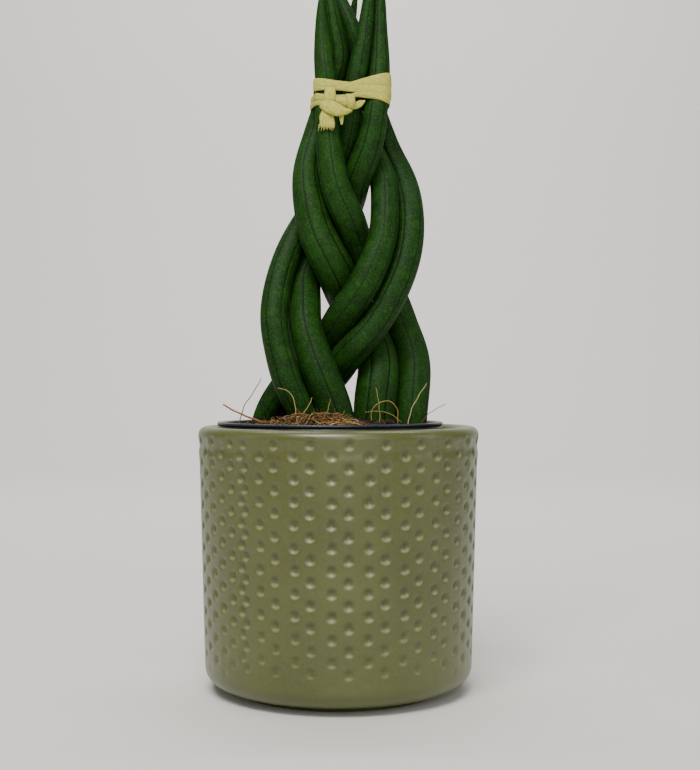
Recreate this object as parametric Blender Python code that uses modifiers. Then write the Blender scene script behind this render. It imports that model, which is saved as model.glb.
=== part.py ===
"""Braided cylindrical snake plant, potted in a nursery pot that stands in a dimpled cachepot.

Metres, +Z up, -Y is the front. The origin is the middle of the foot ring's underside.
Lengths below are in millimetres, and MM turns them to metres.
"""
import math
import random

import bmesh
import bpy
import numpy as np
from mathutils import Matrix, Vector

MM = 0.001
GAP = 0.3

# Cachepot: heights and radii of its turned profile, and its grid of dimples
POT_HEIGHT = 139.0
POT_LIP_RADIUS = 74.6
POT_LIP_MIDDLE = 70.0
POT_OPENING_RADIUS = 65.5
POT_WALL_RADIUS_HIGH = 73.7
POT_WALL_RADIUS_LOW = 70.8
POT_WALL_FOOT = 13.5
POT_CORNER_RADIUS = 9.8
POT_UNDERSIDE = 3.7
POT_FOOT_OUTER = 54.5
POT_FOOT_INNER = 49.0
POT_FLOOR = 12.0
POT_INNER_FLOOR_RADIUS = 56.0
POT_INNER_LOW_RADIUS = 62.0
POT_STEPS = 100
DIMPLE_ROWS = 21
DIMPLE_ROW_HEIGHT = 5.51
DIMPLE_TOP = 134.95
DIMPLE_DEPTH = 0.95
DIMPLE_COLUMN_ANGLE = 3.4

# Nursery pot: it leans on nothing and stands a little left of the cachepot's middle
NURSERY_X = -4.5
NURSERY_RIM_RADIUS = 60.0
NURSERY_RIM_TOP = 141.3
NURSERY_RIM_DROP = 4.2
NURSERY_WALL = 1.2
NURSERY_TOP_RADIUS = 57.6
NURSERY_BASE_RADIUS = 45.0
NURSERY_BASE = POT_FLOOR + GAP
NURSERY_STEPS = 40
DRAIN_HOLES = 5
DRAIN_RADIUS = 5.0
DRAIN_CIRCLE = 30.0

# Substrate: its edge lies under the rim, and it is heaped round the leaves
SOIL_EDGE = 136.5
SOIL_CROWN = 143.0
SOIL_ROUGHNESS = 0.9
SOIL_STEPS = 28
SOIL_RINGS = 6
HOLE_CLEARANCE = 0.8
FIBRE_COUNT = 34
FIBRE_SEED = 11

# Leaves: (x, y, z, radius) down each leaf's middle, from inside the substrate to the tip
LEAF_ROUTES = {
    "leaf_left_outer": [
        (-11, -9, 113, 6.3), (-17, -15, 144, 6.8), (-26, -14, 163, 6.8), (-32, -9, 184, 6.6),
        (-33, -1, 206, 6.7), (-28.5, 4, 227, 6.7), (-20, 8, 245, 6.8), (-6, 8, 266, 6.8),
        (5, 0, 292, 6.5), (7.5, -5, 312, 5.9), (11.5, -6, 332, 5.2), (14.5, -6, 352, 4.0),
        (16.5, -6, 372, 2.4), (17.5, -6, 386, 0.4)],
    "leaf_left_inner": [
        (2, -12, 113, 8.7), (-2, -14, 145, 9.2), (-8, -14, 163, 9.2), (-15, -11, 184, 8.9),
        (-17.5, -4, 206, 8.8), (-13.5, 8, 227, 8.6), (-3, 12, 247, 8.4), (8.5, 2, 265, 7.8),
        (16, -8, 285, 7.4), (19.6, -9, 305, 6.4), (21.2, -7, 327, 5.7), (22, -6, 351, 3.8),
        (22, -6, 372, 2.1), (22, -6, 388, 0.4)],
    "leaf_back_outer": [
        (-43.5, 10, 111, 6.5), (-40, 11, 141, 6.8), (-26, 10, 163, 7.3), (-11, 6, 179, 7.8),
        (1, -5, 196, 8.2), (15.5, -12, 217, 7.9), (24, -8, 242, 7.3), (23.5, 1, 265, 7.0),
        (17, 7, 288, 6.8), (6, 9, 311, 6.0), (5.2, 7, 336, 4.6), (7.3, 7, 360, 2.6),
        (10.5, 7, 378, 0.4)],
    "leaf_back_inner": [
        (-21, 14, 111, 7.4), (-17, 13, 144, 8.2), (-7, 9, 160, 8.5), (5, 0, 175, 8.4),
        (22, -10, 197, 7.8), (35, -9, 223, 7.0), (38.5, -3, 248, 6.9), (35.2, 6, 271, 7.0),
        (26, 14, 292, 6.8), (18, 12, 311, 6.3), (11.5, 9, 332, 5.4), (6, 6, 351, 4.6),
        (0, 6, 368, 3.8), (-6, 6, 388, 2.1), (-11, 6, 403, 0.4)],
    "leaf_right_inner": [
        (18, 0, 112, 9.9), (18.7, 0, 145, 10.9), (19.5, 3, 168, 10.9), (15, 9, 195, 10.4),
        (5.6, 5, 210, 10.0), (-5.5, -7, 229, 9.5), (-14, -9, 251, 8.7), (-17, -1.5, 273, 7.4),
        (-12, 7, 296, 6.9), (-4, 7, 319, 6.5), (1.1, 3, 338, 5.8), (-1.3, 2, 354, 4.8),
        (-5, 2, 372, 3.3), (-9.4, 2, 397, 0.4)],
    "leaf_right_outer": [
        (35.6, 2, 112, 8.0), (39, 3, 145, 8.8), (39, 6, 169, 8.9), (33.7, 10, 193, 8.5),
        (20, 6, 218, 8.1), (9.3, -6, 238, 7.7), (0, -10, 262, 7.4), (-5, -9, 288, 6.9),
        (-5.6, -7, 312, 6.2), (-8, -6, 338, 4.9), (-9.1, -6, 358, 2.6), (-8.8, -6, 373, 0.4)],
}
LEAF_GROOVES = 5
LEAF_GROOVE_RADIUS = 0.87
LEAF_SHOULDER_ANGLE = 24.0
LEAF_RINGS = 29
LEAF_CLEARANCE = 0.7
SETTLE_SAMPLES = 120
SETTLE_ROUNDS = 400
SETTLE_FAVOUR = (0.35, 1.0, 0.2)
SETTLE_RETURN = 0.03
SETTLE_SLACK = 0.02

# Tie: two turns of a flat strip round the bundle, knotted in front
TIE_LOW = 307.0
TIE_MIDDLE = 313.5
TIE_HIGH = 322.0
TIE_SLOPE = 0.08
TIE_THICKNESS = 0.8
TIE_SIDES = 36
TIE_CLEARANCE = 0.6
KNOT_CLEARANCE = 0.8

COLOURS = {
    "cachepot": (0.160, 0.155, 0.062, 1.0),
    "nursery_pot": (0.012, 0.014, 0.020, 1.0),
    "substrate": (0.180, 0.070, 0.022, 1.0),
    "leaf": (0.024, 0.075, 0.018, 1.0),
    "tie": (0.620, 0.600, 0.290, 1.0),
}


def clear_scene():
    """Remove the objects that a new scene starts with."""
    for thing in list(bpy.data.objects):
        bpy.data.objects.remove(thing, do_unlink=True)


def new_collection(name):
    """A collection linked to the scene."""
    collection = bpy.data.collections.new(name)
    bpy.context.scene.collection.children.link(collection)
    return collection


def new_material(name, colour, roughness):
    """A plain Principled material."""
    material = bpy.data.materials.new(name)
    material.use_nodes = True
    shader = material.node_tree.nodes["Principled BSDF"]
    shader.inputs["Base Color"].default_value = colour
    shader.inputs["Roughness"].default_value = roughness
    return material


def new_object(name, mesh, collection):
    """An object for a mesh, in a collection."""
    thing = bpy.data.objects.new(name, mesh)
    collection.objects.link(thing)
    return thing


def evaluated_mesh(thing):
    """The mesh that an object's modifiers or bevel give, with its doubles merged."""
    graph = bpy.context.evaluated_depsgraph_get()
    graph.update()
    mesh = bpy.data.meshes.new_from_object(thing.evaluated_get(graph))
    sheet = bmesh.new()
    sheet.from_mesh(mesh)
    bmesh.ops.remove_doubles(sheet, verts=sheet.verts, dist=0.00001)
    sheet.to_mesh(mesh)
    sheet.free()
    return mesh


def settled(thing):
    """The same object with its modifiers applied."""
    mesh = evaluated_mesh(thing)
    thing.modifiers.clear()
    thing.data = mesh
    return thing


def turned(name, profile, steps, collection):
    """A body turned about Z from a profile of (radius, height) in millimetres."""
    mesh = bpy.data.meshes.new(name)
    points = [(radius * MM, 0.0, height * MM) for radius, height in profile]
    edges = [(index, index + 1) for index in range(len(points) - 1)]
    mesh.from_pydata(points, edges, [])
    thing = new_object(name, mesh, collection)
    screw = thing.modifiers.new("turn", "SCREW")
    screw.steps = steps
    screw.render_steps = steps
    screw.use_merge_vertices = True
    screw.merge_threshold = 0.00001
    screw.use_smooth_shade = True
    return settled(thing)


def swept(name, outline, stations, collection):
    """A body swept along (x, y, z, size, tilt) stations from an outline of unit size."""
    outline_curve = bpy.data.curves.new(name + "_outline", "CURVE")
    outline_curve.dimensions = "2D"
    loop = outline_curve.splines.new("POLY")
    loop.points.add(len(outline) - 1)
    for point, (across, along) in zip(loop.points, outline):
        point.co = (across * MM, along * MM, 0.0, 1.0)
    loop.use_cyclic_u = True
    guide = new_object(name + "_outline", outline_curve, collection)
    curve = bpy.data.curves.new(name + "_route", "CURVE")
    curve.dimensions = "3D"
    curve.bevel_mode = "OBJECT"
    curve.bevel_object = guide
    curve.use_fill_caps = True
    route = curve.splines.new("POLY")
    route.points.add(len(stations) - 1)
    for point, (x, y, z, size, tilt) in zip(route.points, stations):
        point.co = (x * MM, y * MM, z * MM, 1.0)
        point.radius = size
        point.tilt = tilt
    pipe = new_object(name + "_route", curve, collection)
    thing = new_object(name, evaluated_mesh(pipe), collection)
    bpy.data.objects.remove(pipe, do_unlink=True)
    bpy.data.objects.remove(guide, do_unlink=True)
    sheet = bmesh.new()
    sheet.from_mesh(thing.data)
    bmesh.ops.recalc_face_normals(sheet, faces=sheet.faces)
    sheet.to_mesh(thing.data)
    sheet.free()
    return thing


def cut(thing, cutters, name):
    """Take every object of a collection away from a body."""
    modifier = thing.modifiers.new(name, "BOOLEAN")
    modifier.operation = "DIFFERENCE"
    modifier.operand_type = "COLLECTION"
    modifier.collection = cutters
    modifier.solver = "EXACT"
    settled(thing)


def fuse(thing, pieces, name):
    """Join every object of a collection to a body, and remove them."""
    modifier = thing.modifiers.new(name, "BOOLEAN")
    modifier.operation = "UNION"
    modifier.operand_type = "COLLECTION"
    modifier.collection = pieces
    modifier.solver = "EXACT"
    settled(thing)
    for piece in list(pieces.objects):
        bpy.data.objects.remove(piece, do_unlink=True)
    bpy.data.collections.remove(pieces)


def finish(thing, material, sharp=35.0):
    """Give a part its material and smooth shading with sharp edges kept."""
    thing.data.materials.clear()
    thing.data.materials.append(material)
    thing.data.shade_smooth()
    thing.data.set_sharp_from_angle(angle=math.radians(sharp))


def arc(middle_radius, middle_height, radius, start, end, count):
    """Points of a round stretch of a profile, angles in degrees from +radius towards +height."""
    points = []
    for index in range(count + 1):
        angle = math.radians(start + (end - start) * index / count)
        points.append((middle_radius + radius * math.cos(angle),
                       middle_height + radius * math.sin(angle)))
    return points


def wall_radius(height):
    """The cachepot's outer radius: a straight taper, and a soft swelling below the lip."""
    share = (height - POT_WALL_FOOT) / (120.0 - POT_WALL_FOOT)
    taper = POT_WALL_RADIUS_LOW + (POT_WALL_RADIUS_HIGH - POT_WALL_RADIUS_LOW) * min(share, 1.0)
    rise = min(max((height - 116.0) / 16.0, 0.0), 1.0)
    return taper + (POT_LIP_RADIUS - POT_WALL_RADIUS_HIGH) * rise * rise * (3.0 - 2.0 * rise)


def cachepot_profile():
    """Inner floor, inner wall, rounded lip, dimpled wall, rounded corner and foot ring."""
    profile = [(0.0, POT_FLOOR), (POT_INNER_FLOOR_RADIUS, POT_FLOOR)]
    profile.append((POT_INNER_LOW_RADIUS, POT_FLOOR + 6.0))
    profile.append((POT_OPENING_RADIUS, POT_HEIGHT - 3.5))
    profile.append((POT_LIP_MIDDLE - 1.8, POT_HEIGHT))
    profile.append((POT_LIP_MIDDLE + 1.3, POT_HEIGHT))
    profile.append((POT_LIP_RADIUS - 1.1, POT_HEIGHT - 1.9))
    for row in range(DIMPLE_ROWS + 1):
        height = DIMPLE_TOP - row * DIMPLE_ROW_HEIGHT
        profile.append((wall_radius(height), height))
    corner = arc(POT_WALL_RADIUS_LOW - POT_CORNER_RADIUS, POT_WALL_FOOT, POT_CORNER_RADIUS, 0, -90, 3)
    profile.extend(corner)
    profile.append((POT_FOOT_OUTER, 0.0))
    profile.append((POT_FOOT_INNER, 0.0))
    profile.append((POT_FOOT_INNER - 1.0, POT_UNDERSIDE - 0.7))
    profile.append((0.0, POT_UNDERSIDE - 0.7))
    return profile


def press_dimples(thing):
    """Push a pit into every second cell of every second column, rows staggered."""
    sheet = bmesh.new()
    sheet.from_mesh(thing.data)
    step = 360.0 / POT_STEPS
    pits = {}
    for face in sheet.faces:
        middle = face.calc_center_median()
        row_place = (DIMPLE_TOP - middle.z / MM) / DIMPLE_ROW_HEIGHT
        outside = math.hypot(middle.x, middle.y) / MM > POT_INNER_LOW_RADIUS + 5.0
        if not (outside and 0.0 < row_place < DIMPLE_ROWS):
            continue
        angle = math.degrees(math.atan2(middle.x, -middle.y)) - DIMPLE_COLUMN_ANGLE
        column = round(angle / step) % POT_STEPS
        row = int(row_place)
        if column % 2 == 0 and row % 2 == (column // 2) % 2:
            pits[face] = row
    rows = {}
    for face, row in pits.items():
        rows[tuple(round(value, 6) for value in face.calc_center_median())] = row
    poked = bmesh.ops.poke(sheet, faces=list(pits), center_mode="MEAN")
    for vert in poked["verts"]:
        row = rows.get(tuple(round(value, 6) for value in vert.co), 0)
        fade = 1.0 - 0.45 * max(row - 14, 0) / 6.0
        inward = Vector((-vert.co.x, -vert.co.y, 0.0)).normalized()
        vert.co += inward * DIMPLE_DEPTH * fade * MM
    sheet.to_mesh(thing.data)
    sheet.free()


def make_cachepot(collection):
    """Glazed ceramic cachepot with a foot ring and rows of round dimples."""
    pot = turned("cachepot", cachepot_profile(), POT_STEPS, collection)
    step = 360.0 / POT_STEPS
    pot.data.transform(Matrix.Rotation(math.radians(DIMPLE_COLUMN_ANGLE - 90.0 + 0.5 * step), 4, "Z"))
    press_dimples(pot)
    finish(pot, new_material("glazed ceramic", COLOURS["cachepot"], 0.35))
    return pot


def move_mesh(thing, x):
    """Move a part's mesh sideways, and leave its origin."""
    for vert in thing.data.vertices:
        vert.co.x += x * MM


def nursery_radius(height):
    """The nursery pot's outer wall radius."""
    share = (height - NURSERY_BASE) / (NURSERY_RIM_TOP - NURSERY_BASE)
    return NURSERY_BASE_RADIUS + (NURSERY_TOP_RADIUS - NURSERY_BASE_RADIUS) * share


def nursery_profile():
    """Inner floor, inner wall, rolled rim with a groove below its bead, outer wall, base."""
    top = NURSERY_RIM_TOP
    floor = NURSERY_BASE + NURSERY_WALL
    rim_foot = top - NURSERY_RIM_DROP
    return [
        (0.0, floor),
        (nursery_radius(floor) - NURSERY_WALL - 1.0, floor),
        (nursery_radius(floor + 1.0) - NURSERY_WALL, floor + 1.0),
        (nursery_radius(top - 1.2) - NURSERY_WALL, top - 1.2),
        (NURSERY_TOP_RADIUS - 0.4, top),
        (NURSERY_RIM_RADIUS - 0.6, top),
        (NURSERY_RIM_RADIUS, top - 0.6),
        (NURSERY_RIM_RADIUS - 0.1, top - 1.6),
        (NURSERY_RIM_RADIUS - 0.8, top - 2.1),
        (NURSERY_RIM_RADIUS - 0.5, rim_foot),
        (nursery_radius(rim_foot), rim_foot),
        (nursery_radius(NURSERY_BASE + 1.0), NURSERY_BASE + 1.0),
        (nursery_radius(NURSERY_BASE) - 1.0, NURSERY_BASE),
        (0.0, NURSERY_BASE),
    ]


def make_nursery_pot(collection, cutters):
    """Thin black plastic pot with a rolled rim and drain holes in its floor."""
    pot = turned("nursery_pot", nursery_profile(), NURSERY_STEPS, collection)
    for index in range(DRAIN_HOLES):
        angle = math.tau * index / DRAIN_HOLES
        bpy.ops.mesh.primitive_cylinder_add(
            vertices=10, radius=DRAIN_RADIUS * MM, depth=6.0 * MM,
            location=(DRAIN_CIRCLE * MM * math.cos(angle), DRAIN_CIRCLE * MM * math.sin(angle),
                      (NURSERY_BASE + 0.5 * NURSERY_WALL) * MM))
        drill = bpy.context.object
        drill.name = "drain_drill_%d" % index
        for owner in list(drill.users_collection):
            owner.objects.unlink(drill)
        cutters.objects.link(drill)
        drill.hide_render = True
        drill.display_type = "WIRE"
    cut(pot, cutters, "drain holes")
    move_mesh(pot, NURSERY_X)
    finish(pot, new_material("black plastic", COLOURS["nursery_pot"], 0.4))
    return pot


def smooth_route(points, count):
    """Evenly spaced samples of a smooth curve through a route's points."""
    knots = np.array(points, float)
    steps = np.linalg.norm(np.diff(knots[:, :3], axis=0), axis=1)
    place = np.concatenate([[0.0], np.cumsum(steps)])
    slope = np.gradient(knots, place, axis=0)
    at = np.linspace(0.0, place[-1], count)
    index = np.clip(np.searchsorted(place, at, side="right") - 1, 0, len(steps) - 1)
    width = steps[index][:, None]
    share = (at - place[index])[:, None] / width
    start = (2 * share ** 3 - 3 * share ** 2 + 1) * knots[index]
    start_slope = (share ** 3 - 2 * share ** 2 + share) * width * slope[index]
    end = (3 * share ** 2 - 2 * share ** 3) * knots[index + 1]
    end_slope = (share ** 3 - share ** 2) * width * slope[index + 1]
    return start + start_slope + end + end_slope


def crowding(first, second):
    """How much two leaves' samples press into each other, and the way apart."""
    between = first[:, None, :3] - second[None, :, :3]
    distance = np.linalg.norm(between, axis=2)
    reach = first[:, None, 3] + second[None, :, 3] + LEAF_CLEARANCE
    return reach - distance, between / np.maximum(distance, 0.01)[:, :, None]


def spread(push):
    """Share a push with its neighbours along the leaf, so that the leaf bends and doesn't kink."""
    offsets = np.arange(-9, 10)
    weights = np.exp(-0.5 * (offsets / 3.5) ** 2)
    padded = np.pad(push, ((9, 9), (0, 0)), mode="edge")
    total = sum(weight * padded[9 + offset:9 + offset + len(push)]
                for weight, offset in zip(weights, offsets))
    return total / weights.sum()


def settle_leaves():
    """Push the six leaves off each other, mostly in depth, while a weak pull keeps each on its route."""
    routes = {name: smooth_route(points, SETTLE_SAMPLES) for name, points in LEAF_ROUTES.items()}
    leaves = {name: route.copy() for name, route in routes.items()}
    names = list(leaves)
    for turn in range(SETTLE_ROUNDS):
        pulling = turn < SETTLE_ROUNDS / 2
        pushes = {name: np.zeros((SETTLE_SAMPLES, 3)) for name in names}
        worst = 0.0
        for index, first in enumerate(names):
            for second in names[index + 1:]:
                press, way = crowding(leaves[first], leaves[second])
                worst = max(worst, press.max())
                for name, axis, sign in ((first, 1, 1.0), (second, 0, -1.0)):
                    near = press.argmax(axis=axis)
                    row = np.arange(SETTLE_SAMPLES)
                    pair = (row, near) if axis == 1 else (near, row)
                    amount = np.maximum(press[pair], 0.0)[:, None]
                    pushes[name] += sign * 0.5 * amount * way[pair] * np.array(SETTLE_FAVOUR)
        if worst < SETTLE_SLACK and not pulling:
            break
        for name in names:
            leaves[name][:, :3] += 1.3 * spread(pushes[name])
            if pulling:
                leaves[name][:, :3] += SETTLE_RETURN * (routes[name] - leaves[name])[:, :3]
    return leaves


def leaf_outline(groove_radius, shoulder_angle):
    """A round section with narrow grooves, of unit radius."""
    outline = []
    for index in range(LEAF_GROOVES):
        middle = math.tau * index / LEAF_GROOVES
        for turn, radius in ((-shoulder_angle, 1.0), (0.0, groove_radius), (shoulder_angle, 1.0)):
            angle = middle + math.radians(turn)
            outline.append((radius * math.cos(angle), radius * math.sin(angle)))
    return outline


def leaf_stations(route, count, growth=0.0):
    """Stations along a settled leaf, closer together towards its tip."""
    place = np.linspace(0.0, 1.0, count)
    place = place * (1.0 + 0.18 * (1.0 - place))
    at = place * (len(route) - 1)
    columns = [np.interp(at, np.arange(len(route)), route[:, axis]) for axis in range(4)]
    return [(x, y, z, size + growth, 0.0) for x, y, z, size in zip(*columns)]


def make_leaves(leaves, collection):
    """Six round, grooved leaves, braided two by two."""
    made = []
    for name, route in leaves.items():
        outline = leaf_outline(LEAF_GROOVE_RADIUS, LEAF_SHOULDER_ANGLE)
        leaf = swept(name, outline, leaf_stations(route, LEAF_RINGS), collection)
        finish(leaf, new_material("green " + name, COLOURS["leaf"], 0.45), sharp=60.0)
        made.append(leaf)
    return made


def soil_height(x, y):
    """Height of the substrate: a low heap, uneven by a few waves."""
    reach = math.hypot(x - NURSERY_X, y) / (NURSERY_TOP_RADIUS - NURSERY_WALL)
    heap = SOIL_EDGE + (SOIL_CROWN - SOIL_EDGE) * max(1.0 - reach * reach, 0.0)
    waves = math.sin(0.31 * x + 1.7) * math.cos(0.27 * y + 0.4) + 0.6 * math.sin(0.13 * x - 0.5 * y)
    return heap + SOIL_ROUGHNESS * waves * (1.0 - reach ** 4)


def leaf_middles(leaves, height):
    """Middle and radius of each leaf where it passes a height."""
    middles = []
    for route in leaves.values():
        nearest = int(np.abs(route[:, 2] - height).argmin())
        middles.append((route[nearest, 0], route[nearest, 1], route[nearest, 3]))
    return middles


def fibre_routes(leaves):
    """Short coir fibres that stand out of the substrate, drawn between the leaves."""
    draw = random.Random(FIBRE_SEED)
    middles = leaf_middles(leaves, SOIL_CROWN)
    limit = nursery_radius(SOIL_EDGE) - NURSERY_WALL - 6.0
    routes = []
    while len(routes) < FIBRE_COUNT:
        reach = limit * math.sqrt(draw.random())
        angle = draw.uniform(0.0, math.tau)
        x = NURSERY_X + reach * math.cos(angle)
        y = reach * math.sin(angle)
        heading = draw.uniform(0.0, math.tau)
        length = draw.uniform(6.0, 13.0)
        lean = draw.uniform(0.35, 0.9)
        thickness = draw.uniform(0.45, 0.7)
        route = []
        for step in range(5):
            share = step / 4.0
            run = length * share
            px = x + run * lean * math.cos(heading + 0.9 * share)
            py = y + run * lean * math.sin(heading + 0.9 * share)
            lift = -4.0 + (4.0 + length * (1.0 - lean)) * math.sin(1.45 * share)
            route.append((px, py, soil_height(x, y) + lift, thickness * (1.0 - 0.5 * share), 0.0))
        inside = all(math.hypot(px - NURSERY_X, py) < limit + 3.0 for px, py, _, _, _ in route)
        clear = all(math.hypot(px - mx, py - my) > radius + 2.2
                    for px, py, _, _, _ in route for mx, my, radius in middles)
        if inside and clear:
            routes.append(route)
    return routes


def soil_profile():
    """Bottom, side and top of the substrate as a turned blank, from its top middle down."""
    side = nursery_radius(SOIL_EDGE) - NURSERY_WALL - GAP
    floor = NURSERY_BASE + NURSERY_WALL + GAP
    low = nursery_radius(floor) - NURSERY_WALL - GAP - 1.0
    profile = [(0.0, SOIL_EDGE)]
    for ring in range(1, SOIL_RINGS + 1):
        profile.append((side * ring / SOIL_RINGS, SOIL_EDGE))
    profile.append((low, floor))
    profile.append((0.0, floor))
    return profile


def make_substrate(leaves, collection):
    """Coir-rich potting mix with plain holes for the leaves, and loose fibres fused to it."""
    soil = turned("substrate", soil_profile(), SOIL_STEPS, collection)
    move_mesh(soil, NURSERY_X)
    for vert in soil.data.vertices:
        if vert.co.z > (SOIL_EDGE - 1.0) * MM:
            vert.co.z = soil_height(vert.co.x / MM, vert.co.y / MM) * MM
    holes = new_collection("leaf holes")
    round_outline = leaf_outline(1.0, LEAF_SHOULDER_ANGLE)
    for name, route in leaves.items():
        buried = route[route[:, 2] < SOIL_CROWN + 14.0]
        below = buried[0].copy()
        below[2] -= GAP + 0.2
        stations = leaf_stations(np.vstack([below, buried]), 7, growth=HOLE_CLEARANCE)
        plug = swept(name + "_hole", round_outline, stations, holes)
        plug.hide_render = True
        plug.display_type = "WIRE"
    cut(soil, holes, "leaf holes")
    for plug in list(holes.objects):
        bpy.data.objects.remove(plug, do_unlink=True)
    bpy.data.collections.remove(holes)
    fibres = new_collection("fibres")
    triangle = [(math.cos(math.tau * corner / 3), math.sin(math.tau * corner / 3)) for corner in range(3)]
    for index, route in enumerate(fibre_routes(leaves)):
        swept("fibre_%d" % index, triangle, route, fibres)
    fuse(soil, fibres, "fibres")
    finish(soil, new_material("coir and peat", COLOURS["substrate"], 0.9), sharp=50.0)
    return soil


def bundle_hull(leaves, low, high, offset):
    """Points of a tight loop round all the leaves between two heights."""
    discs = []
    for route in leaves.values():
        for x, y, z, radius in route:
            if low - 2.0 < z < high + 2.0:
                discs.append((x, y, radius + offset))
    loop = []
    for index in range(TIE_SIDES):
        angle = math.tau * index / TIE_SIDES
        away = (math.cos(angle), math.sin(angle))
        x, y, radius = max(discs, key=lambda disc: disc[0] * away[0] + disc[1] * away[1] + disc[2])
        loop.append((x + radius * away[0], y + radius * away[1]))
    return loop


def make_tie_band(leaves, collection):
    """Two turns of the strip, the lower one showing below the upper one."""
    loop = bundle_hull(leaves, TIE_LOW, TIE_HIGH + 2.0, TIE_CLEARANCE)
    sheet = bmesh.new()
    rows = []
    for height, lift in ((TIE_HIGH, 0.0), (TIE_MIDDLE, 0.3), (TIE_MIDDLE - 1.0, 0.0), (TIE_LOW, 0.0)):
        row = []
        for x, y in loop:
            out = Vector((x, y)).normalized() * lift
            row.append(sheet.verts.new(((x + out.x) * MM, (y + out.y) * MM,
                                        (height + TIE_SLOPE * x) * MM)))
        rows.append(row)
    for upper, lower in zip(rows, rows[1:]):
        for index in range(TIE_SIDES):
            after = (index + 1) % TIE_SIDES
            sheet.faces.new((upper[index], lower[index], lower[after], upper[after]))
    mesh = bpy.data.meshes.new("tie_band")
    sheet.to_mesh(mesh)
    sheet.free()
    band = new_object("tie_band", mesh, collection)
    wall = band.modifiers.new("strip thickness", "SOLIDIFY")
    wall.thickness = TIE_THICKNESS * MM
    wall.offset = 1.0
    settled(band)
    finish(band, new_material("tie strip", COLOURS["tie"], 0.7))
    return loop


def make_tie_knot(leaves, loop, collection):
    """The knot: a fold, a roll, a slanting strip over them, and three tails, fused together."""
    chain = sorted((x, y) for x, y in loop if y < -4.0)
    places = [x for x, y in chain]
    fronts = [y - TIE_THICKNESS - KNOT_CLEARANCE for x, y in chain]
    leaf_front = min(y - radius for route in leaves.values() for x, y, z, radius in route
                     if TIE_LOW - 16.0 < z < TIE_LOW + 4.0 and x < 10.0) - KNOT_CLEARANCE
    flat = [(-0.28, -1.0), (0.28, -1.0), (0.28, 1.0), (-0.28, 1.0)]
    round_strip = [(math.cos(math.tau * corner / 8), 0.8 * math.sin(math.tau * corner / 8))
                   for corner in range(8)]
    strips = {
        "fold": (round_strip, [(-4.5, 316.5, 2.2), (-4.5, 312.0, 2.6), (-4.0, 306.0, 2.4)]),
        "roll": (round_strip, [(-3.0, 309.5, 2.2), (3.0, 311.5, 2.7), (9.0, 312.5, 1.9)]),
        "slant": (round_strip, [(-9.5, 309.5, 1.5), (-3.0, 307.5, 2.5), (4.0, 304.5, 2.5),
                                (8.5, 305.5, 1.2)]),
        "leaf_tail": (round_strip, [(6.0, 309.0, 1.2), (11.0, 310.5, 2.0), (14.5, 310.2, 0.7)]),
        "wide_tail": (flat, [(-3.0, 307.0, 2.6), (-5.5, 301.0, 3.2), (-6.5, 294.5, 3.4)]),
        "thin_tail": (flat, [(1.0, 305.0, 1.4), (1.2, 299.5, 1.4), (1.8, 295.0, 1.2)]),
    }
    rest = new_collection("knot strips")
    body = None
    for name, (outline, route) in strips.items():
        stations = []
        for x, z, size in route:
            below = min(max((TIE_LOW + 4.0 - z) / 4.0, 0.0), 1.0)
            band_front = min(np.interp(x, places, fronts), np.interp(x + size, places, fronts))
            front = band_front + (min(leaf_front, band_front) - band_front) * below
            stations.append((x, front - (0.95 if outline is round_strip else 0.3) * size, z, size, 0.0))
        if body is None:
            body = swept("tie_knot", outline, stations, collection)
        else:
            swept("knot_" + name, outline, stations, rest)
    fuse(body, rest, "knot strips")
    finish(body, new_material("tie knot strip", COLOURS["tie"], 0.7))
    return body


def build():
    """Make every piece of the potted plant."""
    clear_scene()
    plant = new_collection("cylindrical snake plant")
    cutters = new_collection("cutters")
    leaves = settle_leaves()
    make_cachepot(plant)
    make_nursery_pot(plant, cutters)
    make_substrate(leaves, plant)
    make_leaves(leaves, plant)
    loop = make_tie_band(leaves, plant)
    make_tie_knot(leaves, loop, plant)


build()
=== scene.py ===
import math
import random

import bpy
import numpy as np
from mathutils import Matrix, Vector


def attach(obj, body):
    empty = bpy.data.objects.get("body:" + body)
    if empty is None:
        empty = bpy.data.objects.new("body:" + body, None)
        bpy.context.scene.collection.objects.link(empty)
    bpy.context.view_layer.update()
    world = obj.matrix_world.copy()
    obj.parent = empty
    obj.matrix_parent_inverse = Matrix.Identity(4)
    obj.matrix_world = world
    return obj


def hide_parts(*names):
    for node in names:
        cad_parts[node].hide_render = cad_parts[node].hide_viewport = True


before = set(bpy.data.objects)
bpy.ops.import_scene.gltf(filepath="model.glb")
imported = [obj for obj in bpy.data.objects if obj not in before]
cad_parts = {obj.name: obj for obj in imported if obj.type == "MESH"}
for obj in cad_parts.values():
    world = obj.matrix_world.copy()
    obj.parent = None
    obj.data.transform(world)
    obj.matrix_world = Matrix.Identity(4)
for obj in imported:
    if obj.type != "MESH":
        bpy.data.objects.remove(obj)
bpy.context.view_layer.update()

# Stage: a sheet of pale matt paper that curves up behind, and soft light from large
# panels. The camera looks level from a little above the pot's rim, as in the photograph.
MM = 0.001
CAMERA_X = 6.1 * MM
CAMERA_Y = -683.0 * MM
CAMERA_Z = 160.8 * MM
CAMERA_FOCUS_PIXELS = 1279.0
PHOTO_HEIGHT_PIXELS = 770.0
SENSOR = 36.0
# The paper sheet's sizes, in metres
FLOOR_HALF_WIDTH = 3.0
FLOOR_NEAR = -2.5
FLOOR_BACK = 1.6
FLOOR_BEND = 0.9
FLOOR_BEND_STEPS = 12
FLOOR_TOP = 4.0
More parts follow.
